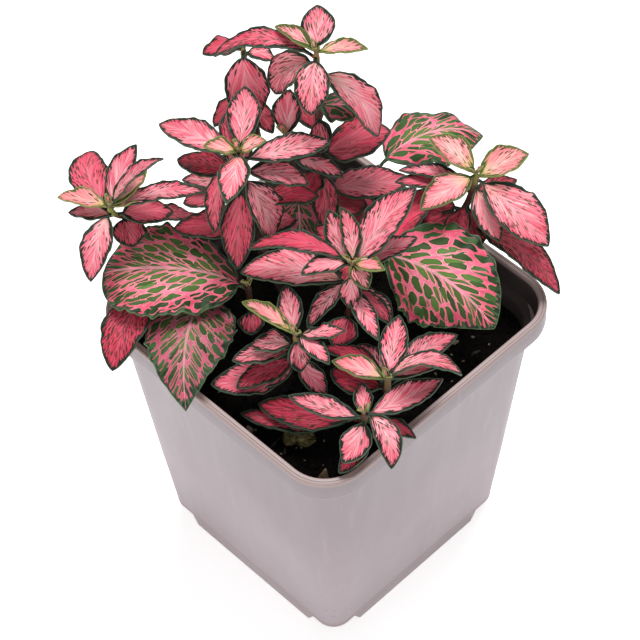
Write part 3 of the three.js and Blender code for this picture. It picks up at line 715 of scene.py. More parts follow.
def netGroup():  # green cells between a net of veins
    inputs = {**veinInputs, "Cell Across": 3.0, "Cell Run": 4.4, "Vein": 0.075, "Spacing": 6.0}
    tree, start, end = newGroup("leafNet", inputs, ["Veins", "Border", "Tone", "Shade"])
    shift = times(start["Seed"], 19.0)
    wobble = maths("SUBTRACT", noiseAt(vector(start["Along"], start["Out"], shift), 0.3, 2.0), 0.5)
    bent = timesPlus(wobble, 2.2, start["Along"])
    wide = maths("ADD", maths("DIVIDE", bent, start["Cell Across"]), shift)
    run = maths("ADD", maths("DIVIDE", start["Out"], start["Cell Run"]), shift)
    spot = vector(wide, run, 0.0)
    border = flatCells(spot, "DISTANCE_TO_EDGE", 0.8)["Distance"]
    cells = flatCells(spot, "F1", 0.8)
    middle = maths("SUBTRACT", 0.5, cells["Distance"])
    spread = timesPlus(middle, 0.55, times(border, 0.65))  # rounds the cells
    rib = maths("PINGPONG", bent, times(start["Spacing"], 0.5))  # the side veins run through the net
    spread = maths("MINIMUM", spread, times(maths("SUBTRACT", rib, 0.1), 0.4))

    def pastVein(low, high):
        return smoothStep(spread, times(start["Vein"], low), times(start["Vein"], high))

    inside = pastVein(0.75, 1.25)
    put(end["Veins"], rest(inside))
    put(end["Border"], times(pastVein(0.35, 0.8), rest(inside)))
    put(end["Tone"], splitUp(cells["Color"], "ShaderNodeSeparateColor")[0])
    put(end["Shade"], pastVein(1.2, 2.6))
    return tree


leafMargin = marginGroup()
leafStreaks = streakGroup()
leafDashes = dashGroup()
leafNet = netGroup()


def readLeafTraits(tree):  # the traits, where the veins are, and streaks along them
    edge, part, aside = readTrait(tree, "leafPlace")
    along, out, seed = readTrait(tree, "veinPlace")
    age, tone, cell = readTrait(tree, "leafTraits")
    traits = {
        "edge": edge, "part": part, "aside": aside, "seed": seed, "age": age, "tone": tone, "cell": cell,
    }
    vein = {"Along": along, "Out": out, "Seed": seed}

    def streaks(across, run, low, high):
        return useGroup(leafStreaks, **vein, Across=across, Run=run, Low=low, High=high)[0]

    return traits, vein, streaks


pinkLook = {
    "young": "ea8389", "grown": "e45b77", "old": "e2264e",
    "paleYoung": "fbd2c6", "paleGrown": "fac4c8", "paleOld": "ee6182",
    "darkYoung": "e0606c", "darkGrown": "d82e54", "darkOld": "98102e",
    "fleck": "b08f66", "dash": "122a17", "dashFresh": "43591f", "heart": "c2c25e",
    "greenYoung": "54632b", "greenOld": "17261c", "rimYoung": "bcc07a", "rimOld": "6a8068",
    "margin": 0.78, "jag": 0.56, "teeth": 1.5,
}


def pinkLeafMaterial():
    look = pinkLook
    material, tree, shader = newMaterial("pinkLeaf", 0.52, 0.22)
    t, vein, streaks = readLeafTraits(tree)
    youth = smoothStep(t["age"], 0.0, 0.45)
    oldness = smoothStep(t["age"], 0.5, 1.0)
    grownUp = smoothStep(t["age"], 0.1, 0.4)
    habit = maths("PINGPONG", t["seed"], 1.0)  # how marked this leaf is, 0 to 1
    outer = smoothStep(t["aside"], 0.1, 0.95)
    tipward = smoothStep(t["part"], 0.35, 1.0)

    def byAge(young, grown, old):
        return layOver(layOver(shade(look[young]), look[grown], youth), look[old], oldness)

    broad = streaks(0.3, 0.12, 0.38, 0.62)
    soft = streaks(1.1, 0.15, 0.38, 0.66)
    fine = streaks(2.4, 0.26, 0.42, 0.68)
    flecks = streaks(1.6, 0.42, 0.56, 0.7)
    grain = streaks(3.4, 1.1, 0.35, 0.7)
    dark = times(rest(broad), timesPlus(oldness, 0.3, 0.35))
    dark = timesPlus(times(outer, outer), timesPlus(oldness, 0.3, 0.15), dark)
    dark = timesPlus(tipward, timesPlus(oldness, -0.35, 0.45), dark)
    dark = timesPlus(grain, 0.12, dark)
    light = maths("MAXIMUM", times(soft, 0.82), times(fine, 0.65))
    fades = ((grain, -0.3, 1.12), (outer, -0.42, 1.06), (tipward, -0.5, 1.0), (oldness, -0.45, 1.0))
    for mask, change, most in fades:
        light = times(light, timesPlus(mask, change, most))
    pale = byAge("paleYoung", "paleGrown", "paleOld")
    colour = layOver(byAge("young", "grown", "old"), byAge("darkYoung", "darkGrown", "darkOld"), dark)
    colour = layOver(colour, pale, light)
    colour = layOver(colour, pale, rest(smoothStep(t["aside"], 0.0, 0.1)), 0.3)  # the midrib
    colour = layOver(colour, look["fleck"], flecks, timesPlus(oldness, 0.25, 0.2))
    heart = times(rest(smoothStep(t["part"], 0.05, 0.42)), rest(smoothStep(t["age"], 0.12, 0.5)))
    colour = layOver(colour, look["heart"], heart, 0.78)

    share = timesPlus(outer, 0.4, timesPlus(t["age"], 0.4, -0.32))
    share = timesPlus(habit, 0.75, share)
    share = maths("ADD", share, maths("SUBTRACT", t["cell"], 1.0))
    dash = useGroup(leafDashes, **vein, Across=0.9, Run=0.55, Share=share, Size=0.31)["Dash"]
    ink = layOver(shade(look["dash"]), look["dashFresh"], smoothStep(t["edge"], 1.5, 4.0))
    colour = layOver(colour, layOver(ink, look["dash"], oldness), dash, 0.95)

    width = times(smoothStep(t["age"], -0.06, 0.06), look["margin"])  # half as wide on buds
    edge = useGroup(leafMargin, Edge=t["edge"], **vein, Width=width, Jag=look["jag"], Teeth=look["teeth"])
    colour = layOver(colour, layOver(shade(look["greenYoung"]), look["greenOld"], grownUp), edge["Margin"])
    # painted highlight: a thin pale rim along the edge
    colour = layOver(colour, layOver(shade(look["rimYoung"]), look["rimOld"], grownUp), edge["Rim"], 0.4)
    height = maths("ADD", times(soft, 0.6), times(fine, 0.4))
    finishShader(shader, brighten(colour, t["tone"]), timesPlus(fine, 0.12, 0.46), height, 0.4, 0.0003)
    return material


def brighten(colour, tone):
    return addBeside("ShaderNodeHueSaturation", {"Color": colour, "Value": tone}).outputs[0]


netLook = {
    "vein": "e25e79", "veinPale": "f3a0b2", "veinDeep": "c0405e", "mauve": "9a4a64", "border": "e8be9e",
    "cell": "3b5a2c", "cellDark": "1b3018", "cellLight": "608238",
    "green": "3c5638", "greenDark": "16241a", "rim": "84986e",
    "margin": 0.9, "jag": 0.85, "teeth": 0.8,
}


def nettedLeafMaterial():
    look = netLook
    material, tree, shader = newMaterial("nettedLeaf", 0.5, 0.22)
    t, vein, streaks = readLeafTraits(tree)
    run, spacing = timesPlus(t["cell"], 0.6, 2.6), times(t["cell"], 2.0)
    net = useGroup(leafNet, **vein, **{"Cell Across": t["cell"], "Cell Run": run, "Spacing": spacing})
    soft = streaks(0.7, 0.16, 0.35, 0.65)
    fine = streaks(3.2, 0.5, 0.4, 0.7)
    inner = smoothStep(t["edge"], 2.5, 9.0)
    fresh = times(net["Shade"], times(inner, timesPlus(net["Tone"], 0.6, 0.15)))
    cell = layOver(layOver(shade(look["cellDark"]), look["cell"], net["Tone"]), look["cellLight"], fresh)
    line = layOver(shade(look["veinDeep"]), look["vein"], soft)
    line = layOver(line, look["veinPale"], inner, timesPlus(fine, 0.45, 0.25))
    line = layOver(line, look["mauve"], smoothStep(t["age"], 0.7, 0.95), 0.5)
    colour = blend(net["Veins"], cell, line)
    colour = layOver(colour, look["border"], net["Border"], timesPlus(inner, 0.5, 0.3))
    colour = layOver(colour, look["veinPale"], rest(smoothStep(t["aside"], 0.018, 0.045)), 0.6)  # the midrib
    teeth = {"Width": look["margin"], "Jag": look["jag"], "Teeth": look["teeth"]}
    edge = useGroup(leafMargin, Edge=t["edge"], **vein, **teeth)
    colour = layOver(colour, layOver(shade(look["greenDark"]), look["green"], soft), edge["Margin"])
    # painted highlight: a thin pale rim along the edge
    colour = layOver(colour, look["rim"], edge["Rim"], 0.3)
    height = maths("ADD", times(net["Veins"], -0.8), times(fine, 0.25))
    finishShader(shader, brighten(colour, t["tone"]), timesPlus(fine, 0.12, 0.44), height, 0.4, 0.0003)
    return material


def undersideMaterial():
    material, tree, shader = newMaterial("leafUnderside", 0.6, 0.3)
    streaks = readLeafTraits(tree)[2]
    ribs = streaks(1.6, 0.15, 0.5, 0.66)
    mottle = streaks(0.5, 0.4, 0.3, 0.7)
    colour = layOver(layOver(shade("6d6a4a"), "8c6a5c", mottle), "b58a80", ribs, 0.6)
    finishShader(shader, colour, timesPlus(mottle, 0.15, 0.5), ribs, 0.4, 0.0003)
    return material


stemLook = {
    "fresh": "8a9444", "freshPatch": "937048", "woody": "3d2b1f", "woodyPatch": "532f2a",
    "fibre": "94806a", "low": "14100d",
}


def stemMaterial():  # fresh at the tip, woody brown below, painted nearly black towards the soil as shade
    material, tree, shader = newMaterial("stemSkin", 0.55, 0.25)
    place = objectPlace(tree)
    fall, height, tipHeight = readTrait(tree, "stemPlace")
    patches = smoothStep(noiseAt(place, 190.0, 3.0), 0.35, 0.65)
    fibres = noiseAt(stretched(place, (900, 900, 220)), 1.0, 2.0)
    fresh = layOver(shade(stemLook["fresh"]), stemLook["freshPatch"], patches)
    woody = layOver(shade(stemLook["woody"]), stemLook["woodyPatch"], patches)
    aged = maths("MAXIMUM", smoothStep(fall, 1.5, 6.5), smoothStep(tipHeight, 32.0, 22.0))
    colour = blend(aged, fresh, woody)
    colour = layOver(colour, stemLook["fibre"], smoothStep(fibres, 0.5, 0.75), 0.45)
    # painted shade: nearly black towards the soil
    colour = layOver(colour, stemLook["low"], smoothStep(height, 24.0, 6.0), 0.9)
    finishShader(shader, colour, timesPlus(fibres, 0.2, 0.5), fibres, 0.5, 0.0003)
    return material


pinkLeaf = pinkLeafMaterial()
nettedLeaf = nettedLeafMaterial()
leafUnderside = undersideMaterial()
stemSkin = stemMaterial()
print("materials ready")


# Leaves, worked out from the same table as the solids they stand for

# How far side veins lean towards the tip, at a leaf's base, middle and tip
otherLean = (1.0, 1.6, 2.3)
deepLean = (1.5, 2.3, 3.2)
netLean = (0.5, 0.9, 1.4)
kindKeys = ("stalk", "belly", "fullness", "cup", "wave", "waves", "age", "cell", "tone", "lean")
kindRows = {
    "bud": (0.05, 0.45, 0.8, 45, 0.0, 1, 0.0, 1, 1, otherLean),
    "young": (0.07, 0.48, 0.85, 24, 0.25, 2, 0.12, 1, 1, otherLean),
    "grown": (0.1, 0.48, 0.78, 12, 0.35, 2, 0.45, 1, 1, otherLean),
    "deep": (0.12, 0.46, 0.72, 6, 0.4, 2, 0.85, 1, 1, deepLean),
    "dusky": (0.12, 0.46, 0.72, 6, 0.4, 2, 0.8, 1.5, 1, otherLean),  # a deep leaf with dashes all over
    "faded": (0.12, 0.46, 0.72, 6, 0.4, 2, 0.7, 1, 1, otherLean),  # a deep leaf of a lighter pink
    "netted": (0.1, 0.44, 0.8, -10, 0.8, 3, 0.6, 2.8, 1.14, netLean),
    "netlet": (0.1, 0.44, 0.7, -4, 0.5, 2, 0.95, 2.2, 1, netLean),
    "heart": (0.08, 0.36, 0.9, -10, 0.8, 3, 1.0, 2.3, 0.9, netLean),
    "broad": (0.08, 0.57, 0.4, -6, 0.8, 3, 0.6, 2.6, 1.18, netLean),
}
leafKinds = {kind: dict(zip(kindKeys, row)) for kind, row in kindRows.items()}

# Each stem: where it stands, its tip and bow, and its leaves from the top down:
# fall below the tip, compass turn, rise, length, width, curl down, swing aside, roll, kind
stems = [
    {"name": "low_left", "root": (-12, -15), "tip": (-15, -13.5, 99), "leaves": [
        (1.9, 221, 5, 41, 32.5, 70, -2, 2, "broad"), (9, 315, -26, 7, 7, 28, 0, 0, "deep"),
    ]},
    {"name": "lowest_left", "root": (-25, -17), "tip": (-25, -18, 92.5), "leaves": [
        (0.9, 294, 6, 46, 24, 61, 29, -1, "heart"), (2, 120, 0, 13, 8, 30, 0, 0, "deep"),
    ]},
    {"name": "corner_left", "root": (-30, -29), "tip": (-33, -32, 96), "leaves": [
        (0, 287, -15, 27, 12.5, 75, 14, 8, "dusky"), (1, 110, 0, 12, 7, 30, 0, 0, "deep"),
    ]},
    {"name": "low_right", "root": (2, 13), "tip": (4.5, 12.5, 107), "leaves": [
        (1.3, 22, -13, 40.3, 28.3, 66, -17, 32, "netted"), (1, 92, 12, 24, 12, 25, 0, 0, "deep"),
        (4, 190, 5, 18, 10, 30, 0, 0, "deep"), (3.4, 271, -28, 11.5, 10, 42, 0, 3, "deep"),
    ]},
    {"name": "back", "root": (-8, 26), "tip": (-15.6, 36, 105.4), "bud": False, "leaves": [
        (0.8, 87, -2, 34, 25.5, 74, -38, -9, "netted"), (8.8, 262, -12, 14, 12, 10, 5, 1, "deep"),
    ]},
    {"name": "tallest", "root": (-14, 12), "tip": (-28.5, 27, 146), "leaves": [
        (0, 125, 25, 13, 9, 25, 16, 3, "grown"), (0, 196, 17, 13, 5.2, 46, 0, -3, "young"),
        (0, 34, 12, 14, 5.5, 34, 4, 6, "young"), (1.5, 305, -30, 16.5, 9.5, 62, 8, -4, "grown"),
        (6.5, 15, -41, 26, 12, 84, 0, -5, "grown"), (2.5, 206, -7, 31, 7, 96, 18, 0, "faded"),
        (4, 213, -36, 16, 11.3, 90, 62, 0, "grown"), (26, 165, 15, 16, 9, 20, -30, 0, "deep"),
        (32, 51, 19, 20.5, 15, 25, 3, 0, "faded"), (35.5, 335, -41, 17, 7.5, 50, -34, 5, "deep"),
        (40, 50, -5, 25, 11.5, 13, 21, 4, "faded"), (17.3, 36, 1, 12, 12, 28, 1, 0, "netlet"),
        (44, 40, -8, 13, 12, 40, 10, 0, "deep"), (35.5, 284, -11, 10, 8, 45, 10, 0, "deep"),
        (20.4, 328, -39, 10, 6, 25, -18, 1, "deep"),
    ]},
    {"name": "upper_left", "root": (-12, -3), "tip": (-27.5, -2.5, 132), "leaves": [
        (0, 121, 21, 18.5, 9, 27, 18, -3, "grown"), (0, 314, 2, 18.5, 8.3, 30, -14, 3, "grown"),
        (0, 228, 18, 9.5, 6, 30, 0, 0, "young"), (0, 53, 24, 8, 5.5, 30, 0, 0, "young"),
        (2, 196, -6, 27, 9, 42, -12, -8, "grown"), (3, 57, -4, 25, 8.5, 23, 13, 8, "grown"),
        (8, 202, -13, 21, 8.5, 30, -15, -7, "deep"), (7, 46, -13, 18.2, 8, 36, -10, 4, "grown"),
        (10.5, 303, -46, 23, 9.2, 26, 10, 4, "deep"), (20, 242, -30, 12, 7.5, 30, 0, 0, "deep"),
        (8, 2, -62, 21.5, 11.5, 60, 10, -5, "grown"), (1.5, 264, -42, 22, 6, 55, 60, 8, "deep"),
        (24.7, 228, 1, 22, 10.5, 28, 0, 0, "deep"), (1, 174, 26, 12.7, 5, 5, -50, 4, "deep"),
        (16, 60, -15, 20, 9, 25, 0, 0, "deep"),
    ]},
    {"name": "centre", "root": (4, 3), "tip": (13.3, -2.8, 121), "ripe": 0.16, "leaves": [
        (1, 167, 29, 16, 7.5, 4, -16, -4, "young"), (1, 123, 37, 16, 5.5, 26, 48, -3, "young"),
        (0, 26, 7, 9, 5.5, 40, 0, 0, "young"), (0, 345, -10, 8, 6, 40, 0, 0, "young"),
        (1.5, 74, 0, 19.5, 7.2, 22, 4, -3, "grown"), (0, 235, 7, 14, 6, 46, 18, -1, "grown"),
        (5.5, 258, -25, 17.2, 5.8, 27, 18, 4, "grown"), (9, 328, -2, 19, 5.8, 30, 15, -2, "grown"),
        (3, 90, 34, 27.3, 11.6, 38, -5, -5, "grown"), (9.7, 3, -20, 14.5, 5, 60, 0, 0, "deep"),
        (9, 209, -3, 30.4, 11.5, 56, 8, -6, "grown"), (0.3, 205, -2, 30, 6.5, 88, 12, 2, "deep"),
        (26, 298, -20, 10, 9, 0, -15, 0, "deep"), (10, 31, -15, 14, 5.2, 34, -44, 2, "grown"),
        (3.3, 308, -47, 9, 6, 34, -1, 3, "grown"),
    ]},
    {"name": "far_left", "root": (-28, -5), "tip": (-47, -31, 119), "ripe": -0.13, "bow": (-5, 15),
     "leaves": [
        (0, 111, 37, 17.8, 7.5, 32, -13, 0, "grown"), (0, 217, 8, 14, 6.5, 35, 0, 0, "young"),
        (0, 58, 11, 11, 6.5, 30, 0, 0, "young"), (2, 292, -17, 20.7, 8.4, 36, 18, 2, "grown"),
        (5, 212, -9, 14, 6, 25, 0, 0, "grown"), (4, 55.5, -12, 15.6, 9, 22, 5, 5, "faded"),
        (0.5, 187, 3, 22, 10.5, 50, -72, -8, "faded"), (6.5, 341, -28, 9, 10, 45, -7, -15, "deep"),
        (8.5, 56, -18, 20, 7, 35, 5, -4, "deep"), (0.7, 67, 42, 23, 6, 45, -25, -5, "grown"),
        (0.2, 68, 19, 15, 6, 30, 40, 3, "young"), (0.5, 52, 4, 26, 6.5, 40, -7, 2, "grown"),
    ]},
    {"name": "right", "root": (6, 20), "tip": (13, 43.4, 118), "ripe": -0.02, "leaves": [
        (0, 186, 17, 16, 10, 28, 4, 5, "young"), (0.3, 263, 4, 20, 9.4, 9, 7, -10, "young"),
        (1.3, 66.5, 12.7, 15.3, 10, 19, -3, 5, "young"), (1.5, 5, -21, 26.3, 13.3, 26, -1, 5, "grown"),
        (3.5, 330, -22, 17.3, 7.8, 20, 15, 0, "grown"), (8, 70, 0, 14, 6.5, 25, 0, 0, "deep"),
        (13, 239, 9, 16, 11.5, 34, -1, 1, "deep"), (6.5, 217, 14, 21, 6.5, 23, 18, 0, "deep"),
        (14.4, 15, -17.5, 35.5, 10.5, 68, -11, -6, "dusky"), (10, 291, -15, 14.5, 7, 41, 11, 1, "deep"),
        (12, 210, 1, 19, 10, 45, 38, 0, "deep"), (4.2, 213, 9, 20.7, 5.2, 41, 7, -2, "grown"),
        (10, 325, -30, 13, 9, 25, 0, 0, "deep"),
    ]},
    {"name": "front", "root": (24, -14), "tip": (39, -24.7, 104), "ripe": 0.3, "leaves": [
        (3, 216, 4, 20.3, 7, 12, -19, -3, "young"), (1.3, 69, 3.5, 22.2, 8.2, 9, 18, 6, "young"),
        (2.8, 303, -22, 12.8, 8.2, 4, -34, 0, "grown"), (0.3, 9, -15, 17.4, 6.8, 58, -62, -2, "grown"),
        (3, 139, 18, 9.6, 5, 20, 0, 0, "grown"), (6, 308, -32, 15, 6.5, 0, -40, 0, "deep"),
        (6, 50, -27, 14.5, 5, 40, -25, -3, "deep"), (12.5, 212, -8, 28, 10.6, 5, -10, -6, "deep"),
        (14, 224, -9, 32, 8.5, -5, -20, 4, "deep"),
    ]},
    {"name": "front_right", "root": (22, -2), "tip": (37, -14.5, 106), "ripe": 0.2, "leaves": [
        (0, 124, 27, 17.5, 7.5, 10, 0, 0, "grown"), (0, 204, 4, 15, 7, 20, 0, 0, "young"),
        (0, 62, 7, 15.5, 6.5, 25, 0, 0, "young"), (0.3, 64, 8, 22, 8.6, 98, -48, -24, "grown"),
        (7.3, 98, -3, 27, 8, 48, -16, 3, "grown"), (6, 200, -8, 16.6, 9.3, 12, -8, -7, "deep"),
        (3.5, 169, -5, 22.4, 6.8, 45, 31, 12, "deep"), (8, 154, -10, 20, 6, 65, 11, -12, "grown"),
        (1, 86, -4, 18.5, 6, 70, -32, 2, "deep"),
    ]},
    {"name": "front_left", "root": (4, -14), "tip": (11.7, -21.6, 108), "leaves": [
        (0, 134, 20, 14, 6.5, 10, 0, 0, "grown"), (0, 189, 4, 18, 5, 56, -1, -8, "young"),
        (4, 219, -8, 12, 7, 40, 0, 0, "grown"), (6.8, 228, -4, 17, 8.2, 24, 3, 4, "grown"),
        (13, 265, -21, 14.3, 7, -5, -38, -1, "grown"), (11.8, 353, -32, 12.7, 6.8, 0, 16, 3, "grown"),
        (15.5, 258, -5, 24, 11, -8, -28, -4, "faded"), (14, 256, -14, 18.5, 8, 25, 0, 0, "deep"),
        (0, 353, 6, 13.8, 5.4, 42, 3, -1, "grown"), (0, 37, 15, 13.3, 5.8, 32, 30, -11, "grown"),
        (0.9, 321, -52, 9, 6, 22, 11, -5, "grown"),
    ]},
    {"name": "middle_back", "root": (-6, 6), "tip": (-30, 17, 121), "leaves": [
        (0.5, 143, 44, 13, 8, 22, -24, -4, "grown"), (0, 225, 55, 5, 3.5, 10, 0, 0, "young"),
        (7.5, 27, 9, 17.2, 6.3, 34, -4, 0, "grown"), (22, 250, 6, 20, 10, 50, 0, 0, "deep"),
        (13.6, 328, -35.5, 18.5, 12, 38, -20, 9, "netlet"),
    ]},
    {"name": "behind_tallest", "root": (-33, 15), "tip": (-49.5, 20.5, 138), "leaves": [
        (0.3, 313, -50, 19.5, 12, 22, 30, 4, "faded"), (1, 222, 0, 11.5, 7, 72, 18, 0, "deep"),
        (2, 32, -5, 9, 5, 50, 0, 0, "grown"), (16, 240, -33, 13.5, 6, 60, 25, 0, "deep"),
        (26, 230, -20, 12, 8, 30, 0, 0, "deep"), (16, 352, -39, 12, 6, 21, 9, 2, "deep"),
    ]},
    {"name": "back_left", "root": (-24, 2), "tip": (-42, 8, 104), "leaves": [
        (0, 130, 20, 13, 8, 25, 0, 0, "grown"), (2, 209, -14, 16.4, 7, 10, 0, -2, "grown"),
        (4, 165, -5, 17, 9, 30, 0, 0, "deep"), (5, 240, -5, 16, 9, 30, 0, 0, "deep"),
    ]},
]

# A leaf is bent aside by the first of these rise and turn changes that clears its neighbours
bends = [
    (0, 0), (5, 0), (-5, 0), (0, 6), (0, -6), (9, 0), (-9, 0), (5, 7), (5, -7), (-5, 7), (-5, -7),
    (14, 0), (-14, 0), (0, 13), (0, -13), (9, 12), (9, -12), (-9, 12), (-9, -12), (20, 0), (-20, 0),
    (14, 16), (14, -16), (-14, 16), (-14, -16), (0, 22), (0, -22), (26, 0), (-26, 0), (20, 20), (20, -20),
]
room = {
    "neighbourGap": 1.5, "ownGap": 1.2, "stemGap": 2.1, "rimGap": 1.2, "enough": 0.5, "spacing": 2.0,
    "freeFrom": 0.45,  # nearer its stem, a leaf may touch its own stem's other leaves
    "rimHalf": 45.0, "lipWidth": 2.3, "potHeight": 92.0, "overSoil": 3.0,
}
plain = {"spineSteps": 16, "stalkHalf": 0.7, "tipHalf": 0.3}
fine = {"stalkHalf": 0.45, "tipHalf": 0.06, "thickness": 0.42, "top": 0.2}


def stemPoint(stem, z):
    root, tip, bow = (np.array(stem.get(key, (0, 0))[:2]) for key in ("root", "tip", "bow"))
    start = soil["level"] + 1
    eased = max(0, (z - start) / (stem["tip"][2] - start)) ** 0.7
    lean = eased * eased * (3 - 2 * eased)
    bulge = 4 * lean * (1 - lean)
    return np.array([*(root + (tip - root) * lean + bow * bulge), z])


def heading(slope, turn):
    level = np.cos(slope)
    return np.stack([level * np.cos(turn), level * np.sin(turn), np.sin(slope)], -1)


def slopeAndTurn(leaf, u):
    return np.radians(leaf["rise"] + leaf["curl"] * (0.5 - u)), np.radians(leaf["turn"] + leaf["swing"] * u)


def readLeaf(row, base, moreRise=0, moreTurn=0):
    keys = ("fall", "turn", "rise", "length", "width", "curl", "swing", "roll", "kind")
    leaf = {**dict(zip(keys, row)), **leafKinds[row[8]], "ripe": 0}
    leaf["rise"] += moreRise
    leaf["turn"] += moreTurn
    steps = plain["spineSteps"]
    ways = heading(*slopeAndTurn(leaf, (np.arange(steps) + 0.5) / steps))
    leaf["spine"] = np.cumsum([np.array(base, dtype=float), *(leaf["length"] / steps * ways)], axis=0)
    return leaf


def halfWidth(leaf, u, size):
    blade = np.clip((u - leaf["stalk"]) / (1 - leaf["stalk"]), 0, 1)
    skew = math.log(0.5) / math.log(leaf["belly"])
    shape = np.maximum(0, np.sin(np.pi * blade ** skew)) ** leaf["fullness"]
    least = np.where(u > 0.5, size["tipHalf"], size["stalkHalf"])
    return blade, shape, np.maximum(least, leaf["width"] / 2 * shape)


def bladePoint(leaf, u, v, lift=0.0, size=plain):
    blade, shape, half = halfWidth(leaf, u, size)
    least = np.where(u > 0.5, plain["tipHalf"], plain["stalkHalf"])
    cup, roll = math.radians(leaf["cup"]), math.radians(leaf["roll"])
    phase = np.where(v > 0, 0, 2)
    ripple = leaf["wave"] * shape * np.abs(v) ** 1.5 * np.sin(2 * np.pi * leaf["waves"] * blade + phase)
    across = half * v * math.cos(cup)
    raised = np.maximum(half - least, 0) * np.abs(v) ** 1.3 * math.sin(cup) + ripple + lift
    sideways = across * math.cos(roll) - raised * math.sin(roll)
    normal = across * math.sin(roll) + raised * math.cos(roll)
    slope, turn = slopeAndTurn(leaf, u)
    step = np.minimum(plain["spineSteps"] - 1, np.floor(u * plain["spineSteps"]).astype(int))
    part = (u * plain["spineSteps"] - step)[..., None]
    middle = leaf["spine"][step] * (1 - part) + leaf["spine"][step + 1] * part
    side = heading(0 * turn, turn + np.pi / 2)
    up = heading(slope + np.pi / 2, turn)
    return middle + sideways[..., None] * side + normal[..., None] * up


def leafSamples(leaf):
    alongCount = math.ceil(leaf["length"] / room["spacing"])
    acrossCount = math.ceil(leaf["width"] / room["spacing"]) + 1
    u = np.repeat(np.arange(1, alongCount + 1) / alongCount, acrossCount)
    v = np.tile(2 * np.arange(acrossCount) / (acrossCount - 1) - 1, alongCount)
    return u, bladePoint(leaf, u, 0.95 * v)


def clearance(u, places, stemIndex, placed):
    reach = np.abs(places[:, :2]).max(1)
    inside = room["rimHalf"] - room["lipWidth"] - 2 * room["rimGap"]
    free = (places[:, 2] > room["potHeight"] + room["rimGap"]) | (reach > room["rimHalf"] + room["rimGap"])
    free |= (reach < inside) & (places[:, 2] > soil["level"] + room["overSoil"])
    least = room["enough"] if free.all() else -1.0
    otherPlaces, otherParts, otherStems, isStem = placed
    apart = np.linalg.norm(places[:, None] - otherPlaces[None], axis=2)
    own = (otherStems == stemIndex)[None]
    skip = np.abs(places[:, None, 2] - otherPlaces[None, :, 2]) > room["stemGap"] + room["enough"]
    skip |= own & (isStem[None] | (u[:, None] < room["freeFrom"]) | (otherParts[None] < room["freeFrom"]))
    gap = np.where(isStem[None], room["stemGap"], np.where(own, room["ownGap"], room["neighbourGap"]))
    return min(least, float(np.where(skip, room["enough"], apart - gap).min()))


def settleLeaves():  # gives each stem its list of leaves, in the places that the solids have
    placed = [np.empty((0, 3)), np.empty(0), np.empty(0, int), np.empty(0, bool)]

    def addPlaces(places, parts, stemIndex, isStem):
        more = (places, parts, np.full(len(places), stemIndex), np.full(len(places), isStem))
        placed[:] = [np.concatenate(pair) for pair in zip(placed, more)]

    for stemIndex, stem in enumerate(stems):
        heights = np.arange(soil["level"], stem["tip"][2] + 1e-9, room["spacing"])
        addPlaces(np.array([stemPoint(stem, z) for z in heights]), np.ones(len(heights)), stemIndex, True)
    for stemIndex, stem in enumerate(stems):
        stem["settled"] = []
        for row in stem["leaves"]:
            base = stemPoint(stem, stem["tip"][2] - row[0])
            best = None
            for bend in bends:
                leaf = readLeaf(row, base, *bend)
                u, places = leafSamples(leaf)
                space = clearance(u, places, stemIndex, placed)
                if best is None or space > best[0]:
                    best = (space, leaf, u, places)
                if space > 0:
                    break
            addPlaces(best[3], best[2], stemIndex, False)
            if row[8] == "young":  # longer young leaves are older
                longer = row[3] - foliage["youngLength"]
                best[1]["ripe"] = stem.get("ripe", 0) + foliage["ripening"] * longer
            stem["settled"].append(best[1])


foliage = {
    "small": {
        "rows": 44, "columns": 16, "ruffle": 0.16, "quilt": 0.06, "veinSpacing": 2.3, "waveLength": 3.6,
    },
    "big": {
        "rows": 96, "columns": 48, "ruffle": 0.45, "quilt": 0.16, "veinSpacing": 4.8, "waveLength": 6.5,
    },
    "bigKinds": ("netted", "netlet", "heart", "broad"),
    "stalkRows": 0.1,  # share of the rows that the stalk takes
    "notch": 0.03, "notchLength": 5.5,  # how far the outline goes in and out, as a share of the half width
    "groove": 0.13, "grooveWidth": 0.45, "sway": 0.02, "stalkRound": 0.35,
    "ripening": 0.013, "youngLength": 14,
    "ageSpread": 0.1, "tones": (0.9, 1.06),
    "seed": 7,
}
stalk = {
    "sides": 12, "rows": 28, "depth": 6, "overTip": 0.4, "radius": 1.25, "taper": 0.45, "tipShare": 0.6,
    "slim": 0.92, "joint": 0.22, "jointHeight": 1.1,
}


def sizeOf(leaf):
    return "big" if leaf["kind"] in foliage["bigKinds"] else "small"


def makeBlank(size):  # the flat leaf that all leaves of one size are copied from
    rows, columns = foliage[size]["rows"], foliage[size]["columns"]
    blank = added(bpy.ops.mesh.primitive_grid_add, x_subdivisions=rows, y_subdivisions=columns, size=2)
    blank.name = size + "LeafBlank"
    return blank


def lateralVeins(leaf, u, y):  # where the side vein through a point leaves the midrib, and how far out
    half = max(leaf["width"], 1) / 2
    aside = np.abs(y) / half
    lean = np.interp(u, [0, 0.5, 1], leaf["lean"])
    start = u * leaf["length"] - lean * half * (1.25 * aside ** 0.72 - 0.1 * aside)
    return start, y * np.sqrt(1 + lean * lean)


def outlineDistance(leaf, u, v, size):
    stations = np.linspace(leaf["stalk"] * 0.6, 1, 70)
    half = halfWidth(leaf, stations, size)[2]
    x = stations * leaf["length"]
    line = np.concatenate([np.stack([x, half], 1), np.stack([x[::-1], -half[::-1]], 1)])
    starts, ends = line[:-1], line[1:]
    way = ends - starts
    points = np.stack([u * leaf["length"], halfWidth(leaf, u, size)[2] * v], 1)
    along = ((points[:, None] - starts[None]) * way[None]).sum(2) / np.maximum((way * way).sum(1), 1e-9)
    nearest = starts[None] + np.clip(along, 0, 1)[..., None] * way[None]
    return np.linalg.norm(points[:, None] - nearest, axis=2).min(1)


def wavesAlong(leaf, u, v, length, turns, mix, faster):  # the first wave differs between the leaf's two sides
    count = leaf["length"] / length
    first = np.sin(2 * np.pi * count * u + turns[0] + np.where(v > 0, 0, turns[1]))
    return first + mix * np.sin(faster * np.pi * count * u + turns[2])


